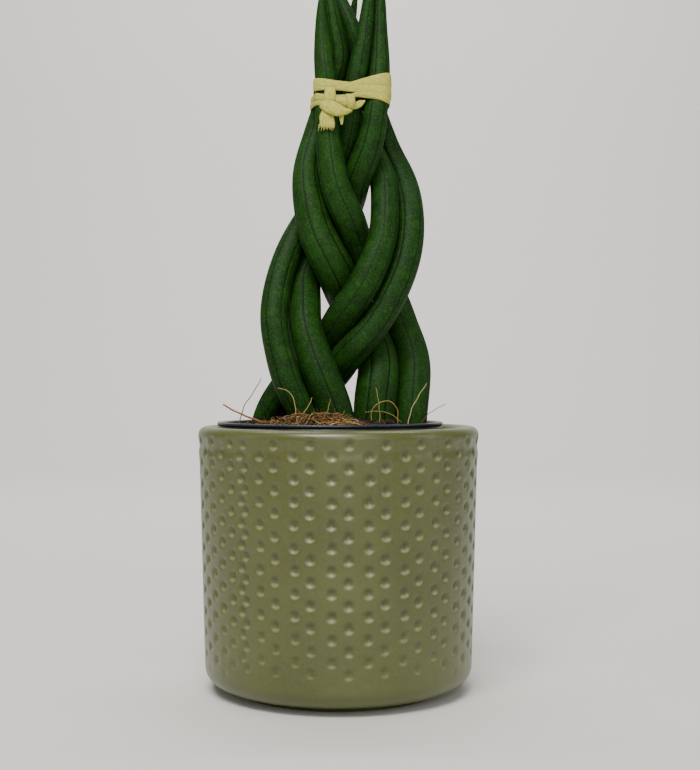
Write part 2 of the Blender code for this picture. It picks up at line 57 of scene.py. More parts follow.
# Panels: name, place, aim and size in metres, power in watts, and tint
PANELS = [
    ("high panel", (-0.20, -0.80, 1.25), (0.0, 0.0, 0.12), (0.7, 0.5), 21.0, (1.0, 1.0, 0.98)),
    ("front panel", (0.30, -1.70, 0.75), (0.0, 0.0, 0.20), (1.3, 1.0), 11.0, (1.0, 1.0, 1.0)),
    ("left panel", (-1.2, -0.30, 0.5), (0.0, 0.0, 0.15), (0.3, 0.8), 1.4, (0.98, 1.0, 1.0)),
    ("right panel", (1.2, -0.30, 0.5), (0.0, 0.0, 0.15), (0.3, 0.8), 2.4, (0.98, 1.0, 1.0)),
    ("sweep panel", (0.0, 0.7, 1.9), (0.0, 2.2, 0.6), (2.2, 0.5), 64.0, (1.0, 1.0, 1.0))]


def srgb(code):
    """Linear colour with alpha from an sRGB hex code."""
    channels = []
    for start in (0, 2, 4):
        value = int(code[start:start + 2], 16) / 255.0
        channels.append(value / 12.92 if value <= 0.04045 else ((value + 0.055) / 1.055) ** 2.4)
    return (*channels, 1.0)


def new_finish(name):
    """A material with its node tree, and its shader."""
    material = bpy.data.materials.new(name)
    material.use_nodes = True
    return material, material.node_tree.nodes["Principled BSDF"]


def make_floor():
    """The floor runs back and sweeps up as one sheet."""
    bpy.ops.object.select_all(action="DESELECT")
    bpy.ops.mesh.primitive_plane_add(size=1.0)
    floor = bpy.context.object
    floor.name = "floor"
    rows = [(FLOOR_NEAR, 0.0), (FLOOR_BACK, 0.0)]
    for step in range(1, FLOOR_BEND_STEPS + 1):
        angle = 0.5 * math.pi * step / FLOOR_BEND_STEPS
        rows.append((FLOOR_BACK + FLOOR_BEND * math.sin(angle), FLOOR_BEND * (1.0 - math.cos(angle))))
    rows.append((FLOOR_BACK + FLOOR_BEND, FLOOR_TOP))
    verts = []
    faces = []
    for index, (y, z) in enumerate(rows):
        verts.append((-FLOOR_HALF_WIDTH, y, z))
        verts.append((FLOOR_HALF_WIDTH, y, z))
        if index:
            base = 2 * index
            faces.append((base - 2, base - 1, base + 1, base))
    mesh = bpy.data.meshes.new("floor")
    mesh.from_pydata(verts, [], faces)
    mesh.shade_smooth()
    floor.data = mesh
    # Matt paper: even and without gloss, so that only the soft shadow shows on it
    material, shader = new_finish("matt white studio paper")
    shader.inputs["Base Color"].default_value = srgb("DAD8D2")
    shader.inputs["Roughness"].default_value = 0.85
    floor.data.materials.append(material)


def make_light(name, place, aim, size, power, tint):
    """A soft panel light aimed at a point."""
    light = bpy.data.lights.new(name, "AREA")
    light.shape = "RECTANGLE"
    light.size = size[0]
    light.size_y = size[1]
    light.energy = power
    light.color = tint
    lamp = bpy.data.objects.new(name, light)
    bpy.context.scene.collection.objects.link(lamp)
    lamp.location = place
    lamp.rotation_euler = (Vector(aim) - Vector(place)).to_track_quat("-Z", "Y").to_euler()


def make_camera():
    """The camera looks straight along +Y from the photograph's place."""
    data = bpy.data.cameras.new("camera")
    data.lens = CAMERA_FOCUS_PIXELS * SENSOR / PHOTO_HEIGHT_PIXELS
    data.sensor_width = SENSOR
    data.clip_start = 0.01
    camera = bpy.data.objects.new("camera", data)
    camera.location = (CAMERA_X, CAMERA_Y, CAMERA_Z)
    camera.rotation_euler = (0.5 * math.pi, 0.0, 0.0)
    bpy.context.scene.collection.objects.link(camera)
    bpy.context.scene.camera = camera


make_floor()
make_camera()
for panel in PANELS:
    make_light(*panel)
world = bpy.data.worlds.new("studio air")
world.use_nodes = True
world.node_tree.nodes["Background"].inputs["Color"].default_value = srgb("ECEEEE")
world.node_tree.nodes["Background"].inputs["Strength"].default_value = 0.20
bpy.context.scene.world = world


# Cachepot: slip-cast ceramic with a thick rounded lip, pressed all over with staggered
# rows of small round pits, and dipped in a satin sage glaze. It stands on a low foot ring.
# The sizes of every piece are in millimetres
POT_HEIGHT = 139.0
POT_LIP_RADIUS = 74.5
POT_OPENING_RADIUS = 65.5
POT_WALL_RADIUS_HIGH = 73.65
POT_WALL_RADIUS_LOW = 70.8
POT_WALL_FOOT = 13.5
POT_CORNER_RADIUS = 9.8
POT_UNDERSIDE = 3.7
POT_FOOT_OUTER = 54.5
POT_FOOT_INNER = 49.0
POT_FLOOR = 12.0
POT_INNER_FLOOR_RADIUS = 56.0
POT_INNER_CORNER = 6.0
POT_LIP_ROUND = 4.5
POT_TAPER_END = 120.0
POT_SWELL_START = 118.0
POT_SWELL_RISE = 13.0
POT_AROUND = 450
POT_WALL_ROWS = 156
PIT_PITCH = 11.02
PIT_TOP = 132.2
PIT_RADIUS = 3.15
PIT_DEPTH = 1.4
PIT_ROWS = 11
PIT_HEIGHT_SPREAD = 0.25
PIT_SIDE_SPREAD = 0.28
PIT_FADE_START = 7.5
PIT_LAST_FADE = 0.35
PIT_SEED = 5
HOLLOW_HEIGHT = 128.8
HOLLOW_DEPTH = 0.75
HOLLOW_WAVE = 1.3
HOLLOW_SOFTNESS = 2.2
# Columns of pits that face the photograph: (angle from the front in degrees, staggered or not)
FRONT_COLUMNS = [
    (-52.5, 1), (-46.2, 0), (-40.6, 1), (-38.7, 0), (-31.3, 1), (-24.8, 0), (-16.6, 1), (-10.3, 0),
    (-2.0, 1), (4.5, 0), (12.1, 1), (18.7, 0), (26.9, 1), (33.5, 0), (41.4, 1), (47.7, 0), (55.7, 1)]
BACK_COLUMNS = 35


def round_stretch(middle_radius, middle_height, across, tall, start, end, count):
    """Points of an elliptic stretch of a profile, angles in degrees from +radius towards +height."""
    points = []
    for index in range(count + 1):
        angle = math.radians(start + (end - start) * index / count)
        points.append((middle_radius + across * math.cos(angle), middle_height + tall * math.sin(angle)))
    return points


def wall_radius(height):
    """The outer wall: a straight taper, and a soft swelling below the lip."""
    share = (height - POT_WALL_FOOT) / (POT_TAPER_END - POT_WALL_FOOT)
    taper = POT_WALL_RADIUS_LOW + (POT_WALL_RADIUS_HIGH - POT_WALL_RADIUS_LOW) * min(share, 1.0)
    rise = min(max((height - POT_SWELL_START) / POT_SWELL_RISE, 0.0), 1.0)
    return taper + (POT_LIP_RADIUS - POT_WALL_RADIUS_HIGH) * rise * rise * (3.0 - 2.0 * rise)


def cachepot_profile():
    """Inner floor and wall, rounded lip, outer wall, rounded corner, foot ring, underside."""
    lip_middle = POT_HEIGHT - POT_LIP_ROUND
    inner_low = POT_INNER_FLOOR_RADIUS + POT_INNER_CORNER
    low = POT_FLOOR + POT_INNER_CORNER
    profile = [(0.0, POT_FLOOR), (0.5 * POT_INNER_FLOOR_RADIUS, POT_FLOOR)]
    profile += round_stretch(POT_INNER_FLOOR_RADIUS, low, POT_INNER_CORNER, POT_INNER_CORNER, -90, 0, 6)
    for step in range(1, 8):
        share = step / 8.0
        radius = inner_low + (POT_OPENING_RADIUS - inner_low) * share
        profile.append((radius, low + (lip_middle - low) * share))
    middle = 0.5 * (POT_OPENING_RADIUS + POT_LIP_RADIUS)
    half = 0.5 * (POT_LIP_RADIUS - POT_OPENING_RADIUS)
    profile += round_stretch(middle, lip_middle, half, POT_LIP_ROUND, 180, 0, 22)
    for row in range(1, POT_WALL_ROWS):
        share = row / POT_WALL_ROWS
        height = lip_middle + (POT_WALL_FOOT - lip_middle) * share
        profile.append((wall_radius(height), height))
    corner = POT_WALL_RADIUS_LOW - POT_CORNER_RADIUS
    profile += round_stretch(corner, POT_WALL_FOOT, POT_CORNER_RADIUS, POT_CORNER_RADIUS, 0, -90, 12)
    ceiling = POT_UNDERSIDE - 0.7
    profile += [(POT_FOOT_OUTER + 0.8, POT_UNDERSIDE), (POT_FOOT_OUTER + 0.2, POT_UNDERSIDE - 0.6)]
    profile += [(POT_FOOT_OUTER, 0.5), (POT_FOOT_OUTER - 0.5, 0.0), (POT_FOOT_INNER + 0.5, 0.0)]
    profile += [(POT_FOOT_INNER, 0.5), (POT_FOOT_INNER - 0.6, ceiling), (0.0, ceiling)]
    return profile


def turned_piece(name, profile, steps):
    """Draw a profile point by point in edit mode, and spin it once round Z."""
    bpy.ops.object.select_all(action="DESELECT")
    bpy.ops.mesh.primitive_plane_add(size=1.0)
    piece = bpy.context.object
    piece.name = name
    bpy.ops.object.mode_set(mode="EDIT")
    bpy.ops.mesh.select_all(action="SELECT")
    bpy.ops.mesh.merge(type="CENTER")
    start = profile[0]
    bpy.ops.transform.translate(value=(start[0] * MM, 0.0, start[1] * MM))
    for before, after in zip(profile, profile[1:]):
        step = ((after[0] - before[0]) * MM, 0.0, (after[1] - before[1]) * MM)
        bpy.ops.mesh.extrude_region_move(TRANSFORM_OT_translate={"value": step})
    bpy.ops.mesh.select_all(action="SELECT")
    bpy.ops.mesh.spin(steps=steps, angle=math.tau, center=(0.0, 0.0, 0.0), axis=(0.0, 0.0, 1.0))
    bpy.ops.mesh.select_all(action="SELECT")
    bpy.ops.mesh.remove_doubles(threshold=0.000005)
    bpy.ops.mesh.normals_make_consistent(inside=False)
    bpy.ops.object.mode_set(mode="OBJECT")
    piece.data.shade_smooth()
    return piece


def mesh_points(piece):
    """The places of a piece's points, in millimetres."""
    flat = np.empty(len(piece.data.vertices) * 3)
    piece.data.vertices.foreach_get("co", flat)
    return flat.reshape(-1, 3) / MM


def set_mesh_points(piece, points):
    """Move a piece's points to new places in millimetres."""
    piece.data.vertices.foreach_set("co", (points * MM).ravel())
    piece.data.update()


def mark_points(piece, name, values):
    """Store a number at each point of a piece, for its material."""
    layer = piece.data.attributes.new(name, "FLOAT", "POINT")
    layer.data.foreach_set("value", np.asarray(values, dtype=np.float32))


def pit_columns():
    """Angle and stagger of every column of pits, the measured front ones first."""
    columns = list(FRONT_COLUMNS)
    start = FRONT_COLUMNS[-1][0]
    room = 360.0 - start + FRONT_COLUMNS[0][0]
    for index in range(1, BACK_COLUMNS + 1):
        columns.append((start + room * index / (BACK_COLUMNS + 1), (index + 1) % 2))
    return columns


def press_pits(pot):
    """Push the pits into the outer wall, each a shallow bowl, and a wavy hollow below the lip."""
    points = mesh_points(pot)
    radius = np.hypot(points[:, 0], points[:, 1])
    angle = np.degrees(np.arctan2(points[:, 0], -points[:, 1]))
    draw = random.Random(PIT_SEED)
    depth = np.zeros(len(points))
    pit_shade_paint = np.zeros(len(points))
    pit_highlight_paint = np.zeros(len(points))
    wall = (radius > POT_OPENING_RADIUS + 3.0) & (points[:, 2] > 8.0) & (points[:, 2] < 137.5)
    columns = pit_columns()
    for column_angle, stagger in columns:
        away = (angle - column_angle + 180.0) % 360.0 - 180.0
        near = np.flatnonzero(wall & (np.abs(away) < 4.0))
        for row in range(PIT_ROWS):
            place = row + 0.5 * stagger
            height = PIT_TOP - place * PIT_PITCH + draw.uniform(-PIT_HEIGHT_SPREAD, PIT_HEIGHT_SPREAD)
            nudge = draw.uniform(-PIT_SIDE_SPREAD, PIT_SIDE_SPREAD)
            fade = 1.0 - 0.5 * max(place - PIT_FADE_START, 0.0) / 3.0
            if stagger and row == PIT_ROWS - 1:
                fade *= PIT_LAST_FADE
            across = np.radians(away[near]) * radius[near] - nudge
            up = (points[near, 2] - height) / PIT_RADIUS
            distance = np.hypot(across / PIT_RADIUS, up)
            bowl = np.clip(1.0 - distance ** 2, 0.0, 1.0) ** 1.3 * fade
            edge = np.clip(1.0 - (distance - 0.62) ** 2 / 0.25, 0.0, 1.0) * fade
            depth[near] = np.maximum(depth[near], bowl)
            # The upper half of each pit is marked for painted shade in the glaze.
            pit_shade_paint[near] = np.maximum(pit_shade_paint[near], bowl * np.clip(0.45 + 1.6 * up, 0.0, 1.0))
            # The lower rim of each pit is marked for a painted highlight in the glaze.
            pit_highlight_paint[near] = np.maximum(pit_highlight_paint[near], edge * np.clip(-0.1 - 1.5 * up, 0.0, 1.0))
    angles = [place for place, _ in columns]
    waves = np.interp(angle, angles, [2.0 * stagger - 1.0 for _, stagger in columns], period=360.0)
    off_hollow = (points[:, 2] - HOLLOW_HEIGHT - HOLLOW_WAVE * waves) / HOLLOW_SOFTNESS
    hollow = np.exp(-0.5 * off_hollow ** 2) * wall
    inward = points[:, :2] / np.maximum(radius, 1.0)[:, None]
    points[:, :2] -= inward * (depth * PIT_DEPTH + hollow * HOLLOW_DEPTH)[:, None]
    set_mesh_points(pot, points)
    mark_points(pot, "pit_painted_shade", pit_shade_paint)
    mark_points(pot, "pit_painted_highlight", pit_highlight_paint)


def add_node(material, kind, links=None, **settings):
    """Add a node with its settings, and link its inputs to the outputs given."""
    node = material.node_tree.nodes.new(kind)
    for key, value in settings.items():
        if key in node.inputs:
            node.inputs[key].default_value = value
        else:
            setattr(node, key, value)
    for key, output in (links or {}).items():
        material.node_tree.links.new(output, node.inputs[key])
    return node


def colour_ramp(material, factor, stops):
    """Colours by a factor: stops are (place, hex code)."""
    ramp = add_node(material, "ShaderNodeValToRGB", {"Fac": factor})
    elements = ramp.color_ramp.elements
    while len(elements) < len(stops):
        elements.new(0.5)
    for element, (place, code) in zip(elements, stops):
        element.position = place
        element.color = srgb(code)
    return ramp.outputs["Color"]


def blend_colours(material, amount, first, second):
    """Mix two colours by an amount, each a socket or a hex code."""
    mix = add_node(material, "ShaderNodeMix", data_type="RGBA")
    for index, value in ((0, amount), (6, first), (7, second)):
        if isinstance(value, bpy.types.NodeSocket):
            material.node_tree.links.new(value, mix.inputs[index])
        elif isinstance(value, str):
            mix.inputs[index].default_value = srgb(value)
        else:
            mix.inputs[index].default_value = value
    return mix.outputs[2]


def link(material, output, shader, name):
    """Join an output to one of the shader's inputs."""
    material.node_tree.links.new(output, shader.inputs[name])


def noise(material, places, scale_mm, detail=3.0, roughness=0.55, distortion=0.0):
    """Noise whose grain is a size in millimetres."""
    texture = add_node(material, "ShaderNodeTexNoise", {"Vector": places}, Detail=detail,
                       Roughness=roughness, Distortion=distortion)
    texture.inputs["Scale"].default_value = 1.0 / (scale_mm * MM)
    return texture.outputs["Fac"]


def bump(material, height, distance_mm, strength=1.0, before=None):
    """A bump of a height in millimetres."""
    links = {"Height": height}
    if before is not None:
        links["Normal"] = before
    node = add_node(material, "ShaderNodeBump", links, Strength=strength, Distance=distance_mm * MM)
    return node.outputs["Normal"]


def spread_range(material, value, low, high, low_out, high_out):
    """Map a value's range to another, clamped."""
    node = add_node(material, "ShaderNodeMapRange", {"Value": value})
    for key, number in (("From Min", low), ("From Max", high), ("To Min", low_out), ("To Max", high_out)):
        node.inputs[key].default_value = number
    return node.outputs["Result"]


def glaze_finish():
    """Satin sage glaze, with painted shade darkening the upper half of each pit and a painted highlight
    lightening its lower rim.
    """
    material, shader = new_finish("satin sage glaze")
    places = add_node(material, "ShaderNodeTexCoord").outputs["Object"]
    pit_shade_paint = add_node(material, "ShaderNodeAttribute", attribute_name="pit_painted_shade").outputs["Fac"]
    pit_highlight_paint = add_node(material, "ShaderNodeAttribute", attribute_name="pit_painted_highlight").outputs["Fac"]
    cloud = noise(material, places, 38.0, detail=3.0)
    grain = noise(material, places, 1.6, detail=4.0)
    tone = colour_ramp(material, cloud, [(0.3, "464A1F"), (0.7, "505526")])
    speck = spread_range(material, grain, 0.3, 0.75, 0.0, 0.35)
    tone = blend_colours(material, speck, tone, "626438")
    # Painted shade: the upper half of each pit is darkened, as if turned away from the light above.
    painted_shade_share = spread_range(material, pit_shade_paint, 0.1, 0.9, 0.0, 0.62)
    tone = blend_colours(material, painted_shade_share, tone, "2C3012")
    # Painted highlight: the lower rim of each pit is lightened, where it would catch the light above.
    painted_highlight_share = spread_range(material, pit_highlight_paint, 0.2, 1.0, 0.0, 0.55)
    tone = blend_colours(material, painted_highlight_share, tone, "9A9C76")
    link(material, tone, shader, "Base Color")
    link(material, spread_range(material, cloud, 0.3, 0.7, 0.33, 0.42), shader, "Roughness")
    shader.inputs["IOR"].default_value = 1.5
    shader.inputs["Coat Weight"].default_value = 0.2
    shader.inputs["Coat Roughness"].default_value = 0.28
    link(material, bump(material, grain, 0.05, strength=0.5), shader, "Normal")
    return material


def make_cachepot():
    """The glazed pot, in place of its plainer solid."""
    pot = turned_piece("cachepot_glazed", cachepot_profile(), POT_AROUND)
    press_pits(pot)
    pot.data.materials.append(glaze_finish())
    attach(pot, "root")
    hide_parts("cachepot")


make_cachepot()


# Nursery pot: thin moulded black polypropylene, with a rolled rim that stands
# just proud of the cachepot. It is pushed to the left and hides the pot's inside.
NURSERY_X = -4.5
NURSERY_RIM_RADIUS = 60.0
NURSERY_RIM_TOP = 141.3
NURSERY_WALL = 1.2
NURSERY_TOP_RADIUS = 57.6
NURSERY_BASE_RADIUS = 45.0
NURSERY_BASE = POT_FLOOR + 0.3
NURSERY_AROUND = 192


def nursery_radius(height):
    """The nursery pot's outer wall radius."""
    share = (height - NURSERY_BASE) / (NURSERY_RIM_TOP - NURSERY_BASE)
    return NURSERY_BASE_RADIUS + (NURSERY_TOP_RADIUS - NURSERY_BASE_RADIUS) * share


def nursery_profile():
    """Inner floor and wall, rim bead, groove, skirt below it, outer wall and base."""
    top = NURSERY_RIM_TOP
    floor = NURSERY_BASE + NURSERY_WALL
    profile = [(0.0, floor), (nursery_radius(floor) - NURSERY_WALL - 1.0, floor)]
    profile.append((nursery_radius(floor + 1.0) - NURSERY_WALL, floor + 1.0))
    profile.append((nursery_radius(top - 8.0) - NURSERY_WALL, top - 8.0))
    profile += round_stretch(NURSERY_TOP_RADIUS, top - 1.0, 1.2, 1.0, 180, 90, 5)
    profile += round_stretch(NURSERY_RIM_RADIUS - 0.9, top - 0.9, 0.9, 0.9, 90, -60, 8)
    profile += round_stretch(NURSERY_RIM_RADIUS - 0.3, top - 2.2, 0.45, 0.45, 150, 230, 4)
    profile += [(NURSERY_RIM_RADIUS - 0.35, top - 2.9), (NURSERY_RIM_RADIUS - 0.55, top - 4.2)]
    profile += [(NURSERY_RIM_RADIUS - 1.4, top - 4.2), (nursery_radius(top - 3.0) + 0.3, top - 3.0)]
    profile.append((nursery_radius(top - 4.0), top - 5.0))
    profile.append((nursery_radius(NURSERY_BASE + 1.0), NURSERY_BASE + 1.0))
    profile += [(nursery_radius(NURSERY_BASE) - 1.0, NURSERY_BASE), (0.0, NURSERY_BASE)]
    return profile


def plastic_finish():
    """Moulded black polypropylene: blue-black, satin, with faint scuffs."""
    material, shader = new_finish("moulded black polypropylene")
    places = add_node(material, "ShaderNodeTexCoord").outputs["Object"]
    scuff = noise(material, places, 5.0, detail=6.0, roughness=0.7)
    tone = colour_ramp(material, scuff, [(0.35, "14161B"), (0.75, "262A33")])
    link(material, tone, shader, "Base Color")
    link(material, spread_range(material, scuff, 0.3, 0.8, 0.28, 0.5), shader, "Roughness")
    shader.inputs["IOR"].default_value = 1.49
    fine = noise(material, places, 0.8, detail=2.0)
    link(material, bump(material, fine, 0.03, strength=0.4), shader, "Normal")
    return material


def shift_points(piece, x):
    """Move a piece's mesh sideways by millimetres."""
    points = mesh_points(piece)
    points[:, 0] += x
    set_mesh_points(piece, points)


def make_nursery_pot():
    """The plastic pot, in place of its plainer solid."""
    pot = turned_piece("nursery_pot_moulded", nursery_profile(), NURSERY_AROUND)
    shift_points(pot, NURSERY_X)
    pot.data.materials.append(plastic_finish())
    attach(pot, "root")
    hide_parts("nursery_pot")


make_nursery_pot()


# Leaves: six round, rigid leaves, dark green with paler mottling and dark lengthwise
# grooves. They were braided two by two while young, and each ends in a hard point.
# Each route is (x, y, z, radius) along the leaf's middle, from inside the mix to the tip.
LEAF_ROUTES = {
    "leaf_left_outer": [
        (-11, -9, 113, 6.3), (-17, -16, 144, 7.0), (-25.0, -18, 163, 7.8), (-31.3, -16, 184, 7.3),
        (-32.3, -9, 206, 7.4), (-28, 0, 227, 7.2), (-20, 8, 245, 6.9), (-6, 8, 266, 6.8),
        (5, 0, 292, 6.5), (7.5, -5, 312, 5.9), (11.5, -6, 332, 5.2), (14.5, -6, 352, 4.0),
        (16.5, -6, 372, 2.4), (17.5, -6, 386, 0.4)],
    "leaf_left_inner": [
        (2, -12, 113, 8.7), (-2, -14, 145, 9.2), (-8.3, -14, 163, 9.6), (-15.2, -11, 184, 9.1),
        (-17.5, -1.5, 206, 8.9), (-13.5, 9, 227, 8.6), (-3, 14, 247, 8.4), (8.5, 2, 265, 7.8),
        (16, -8, 285, 7.4), (19.6, -9, 305, 6.4), (21.2, -3.5, 327, 5.9), (21.8, -1.5, 351, 4.2),
        (21.8, -1.5, 372, 2.8), (22, -2.5, 388, 0.4)],
    "leaf_back_outer": [
        (-43.5, 10, 111, 6.5), (-40, 11, 141, 6.8), (-25.0, 9.5, 163, 7.7), (-11, 6, 179, 7.8),
        (1, -5, 196, 8.5), (15.0, -14.5, 217, 8.3), (24.4, -9, 242, 7.7), (23.9, 0, 265, 7.4),
        (17, 7, 288, 6.8), (6, 9, 311, 6.0), (4.8, 7, 336, 4.3), (7.1, 7, 360, 2.4),
        (10.5, 7, 378, 0.4)],
    "leaf_back_inner": [
        (-25, 14, 111, 7.6), (-24.2, 14, 144, 8.8), (-13.0, 12, 160, 9.1), (5, 0, 175, 8.4),
        (22, -10, 197, 7.8), (34.2, -7, 223, 7.9), (37.6, -1, 248, 7.6), (34.2, 11, 271, 7.5),
        (25.5, 16, 292, 6.8), (18, 12, 311, 6.3), (11.9, 9, 332, 6.0), (6, 6, 351, 4.6),
        (0, 6, 368, 3.8), (-6, 6, 388, 2.1), (-11, 6, 402.8, 0.4)],
    "leaf_right_inner": [
        (18, 0, 112, 9.9), (19.0, -2, 145, 11.2), (19.8, -1, 168, 11.2), (15, 7.5, 195, 10.4),
        (6.3, 5, 210, 10.6), (-5.1, -8, 229, 10.2), (-13.6, -5, 251, 9.3), (-17, -1, 273, 7.5),
        (-12, 7, 296, 6.9), (-4, 7, 319, 6.5), (1.1, 3, 338, 5.8), (-1.3, 2, 354, 4.8),
        (-5, 2, 372, 3.3), (-9.4, 2, 397, 0.4)],
    "leaf_right_outer": [
        (35.6, 5, 112, 8.0), (38.6, 6, 145, 9.3), (38.5, 9, 169, 9.5), (32.8, 13, 193, 8.9),
        (17.8, 6.5, 218, 9.3), (8.5, 0, 238, 8.7), (3.4, -11, 252, 8.3),
        (-0.2, -12, 262, 7.9), (-5, -11, 288, 6.9),
        (-5.6, -7, 312, 6.2), (-8, -6, 338, 4.9), (-9.1, -6, 358, 2.6), (-8.8, -6, 373, 0.4)],
}
# Each leaf's grooves: how many, the turn of the first in degrees, and how much yellow-green is mixed in,
# partly the leaf's own tone and partly painted light that lightens the leaves lying more in shade
LEAF_CHARACTER = {
    "leaf_left_outer": (6, 12.0, 0.30), "leaf_left_inner": (6, 38.0, 0.35),
    "leaf_back_outer": (6, 25.0, 0.25), "leaf_back_inner": (6, 5.0, 0.25),
    "leaf_right_inner": (7, 18.0, 0.50), "leaf_right_outer": (6, 30.0, 0.50)}
LEAF_AROUND = 96
LEAF_ALONG = 200
LEAF_CLEARANCE = 0.35
SETTLE_SAMPLES = 120
SETTLE_ROUNDS = 400
SETTLE_FAVOUR = (0.35, 1.0, 0.2)
SETTLE_RETURN = 0.03
SETTLE_SLACK = 0.02
GROOVE_WIDTH = 2.6
GROOVE_DEPTH = 0.06


def smooth_route(points, count):
    """Evenly spaced samples of a smooth curve through a route's points."""
    knots = np.array(points, float)
    steps = np.linalg.norm(np.diff(knots[:, :3], axis=0), axis=1)
    place = np.concatenate([[0.0], np.cumsum(steps)])
    slope = np.gradient(knots, place, axis=0)
    at = np.linspace(0.0, place[-1], count)
    index = np.clip(np.searchsorted(place, at, side="right") - 1, 0, len(steps) - 1)
    width = steps[index][:, None]
    share = (at - place[index])[:, None] / width
    start = (2 * share ** 3 - 3 * share ** 2 + 1) * knots[index]
    start_slope = (share ** 3 - 2 * share ** 2 + share) * width * slope[index]
    end = (3 * share ** 2 - 2 * share ** 3) * knots[index + 1]
    end_slope = (share ** 3 - share ** 2) * width * slope[index + 1]
    return start + start_slope + end + end_slope


def crowding(first, second):
    """How much two leaves' samples press into each other, and the way apart."""
    between = first[:, None, :3] - second[None, :, :3]
    distance = np.linalg.norm(between, axis=2)
    reach = first[:, None, 3] + second[None, :, 3] + LEAF_CLEARANCE
    return reach - distance, between / np.maximum(distance, 0.01)[:, :, None]


def spread(push):
    """Share a push with its neighbours along the leaf, so that the leaf bends and doesn't kink."""
    offsets = np.arange(-9, 10)
    weights = np.exp(-0.5 * (offsets / 3.5) ** 2)
    padded = np.pad(push, ((9, 9), (0, 0)), mode="edge")
    total = sum(weight * padded[9 + offset:9 + offset + len(push)]
                for weight, offset in zip(weights, offsets))
    return total / weights.sum()


def settle_leaves():
    """Push the six leaves off each other, mostly in depth, while a weak pull keeps each on its route."""
    routes = {name: smooth_route(points, SETTLE_SAMPLES) for name, points in LEAF_ROUTES.items()}
    leaves = {name: route.copy() for name, route in routes.items()}
    names = list(leaves)
    for turn in range(SETTLE_ROUNDS):
        pulling = turn < SETTLE_ROUNDS / 2
        pushes = {name: np.zeros((SETTLE_SAMPLES, 3)) for name in names}
        worst = 0.0
        for index, first in enumerate(names):
            for second in names[index + 1:]:
                press, way = crowding(leaves[first], leaves[second])
                worst = max(worst, press.max())
                for name, axis, sign in ((first, 1, 1.0), (second, 0, -1.0)):
                    near = press.argmax(axis=axis)
                    row = np.arange(SETTLE_SAMPLES)
                    pair = (row, near) if axis == 1 else (near, row)
                    amount = np.maximum(press[pair], 0.0)[:, None]
                    pushes[name] += sign * 0.5 * amount * way[pair] * np.array(SETTLE_FAVOUR)
        if worst < SETTLE_SLACK and not pulling:
            break
        for name in names:
            leaves[name][:, :3] += 1.3 * spread(pushes[name])
            if pulling:
                leaves[name][:, :3] += SETTLE_RETURN * (routes[name] - leaves[name])[:, :3]
    return leaves


def resample(route, count):
    """A settled route with another number of samples, by smooth steps."""
    at = np.linspace(0, len(route) - 1, count)
    columns = [np.interp(at, np.arange(len(route)), route[:, axis]) for axis in range(route.shape[1])]
    finer = np.stack(columns, axis=1)
    for _ in range(3):
        finer[1:-1] = 0.25 * finer[:-2] + 0.5 * finer[1:-1] + 0.25 * finer[2:]
    return finer


def swept_points(route, around, section):
    """Points of a tube along a route; section gives (ring, angle) radii of unit size."""
    middles = route[:, :3]
    ways = np.gradient(middles, axis=0)
    ways /= np.linalg.norm(ways, axis=1)[:, None]
    side = np.cross(ways[0], (0.0, 1.0, 0.0))
    side /= np.linalg.norm(side)
    sides = [side]
    for way in ways[1:]:
        side = side - way * np.dot(side, way)
        side = side / np.linalg.norm(side)
        sides.append(side)
    sides = np.array(sides)
    others = np.cross(ways, sides)
    angles = np.arange(around) / around * math.tau
    radius = section * route[:, 3][:, None]
    across = np.cos(angles)[None, :, None] * sides[:, None, :]
    across = across + np.sin(angles)[None, :, None] * others[:, None, :]
    return middles[:, None, :] + radius[:, :, None] * across


def tube_faces(rings, around, start=0):
    """Quads of a tube whose points are stored ring by ring, with its two ends closed."""
    faces = []
    for ring in range(rings - 1):
        base = start + ring * around
        for step in range(around):
            after = (step + 1) % around
            faces.append((base + step, base + after, base + around + after, base + around + step))
    faces.append(tuple(start + step for step in reversed(range(around))))
    last = start + (rings - 1) * around
    faces.append(tuple(last + step for step in range(around)))
    return faces


def mesh_piece(name, points, faces):
    """A smooth-shaded object from points in millimetres and faces."""
    mesh = bpy.data.meshes.new(name)
    mesh.from_pydata([tuple(point) for point in np.asarray(points) * MM], [], faces)
    mesh.shade_smooth()
    piece = bpy.data.objects.new(name, mesh)
    bpy.context.scene.collection.objects.link(piece)
    return piece


def groove_pattern(angles, grooves, first, draw):
    """How deep each angle lies in a groove, from 0 on the skin to 1 in the line."""
    pattern = np.zeros_like(angles)
    for index in range(grooves):
        middle = first + 360.0 * index / grooves + draw.uniform(-7.0, 7.0)
        away = (np.degrees(angles) - middle + 180.0) % 360.0 - 180.0
        pattern = np.maximum(pattern, np.exp(-0.5 * (away / GROOVE_WIDTH) ** 2) * draw.uniform(0.7, 1.0))
    return pattern


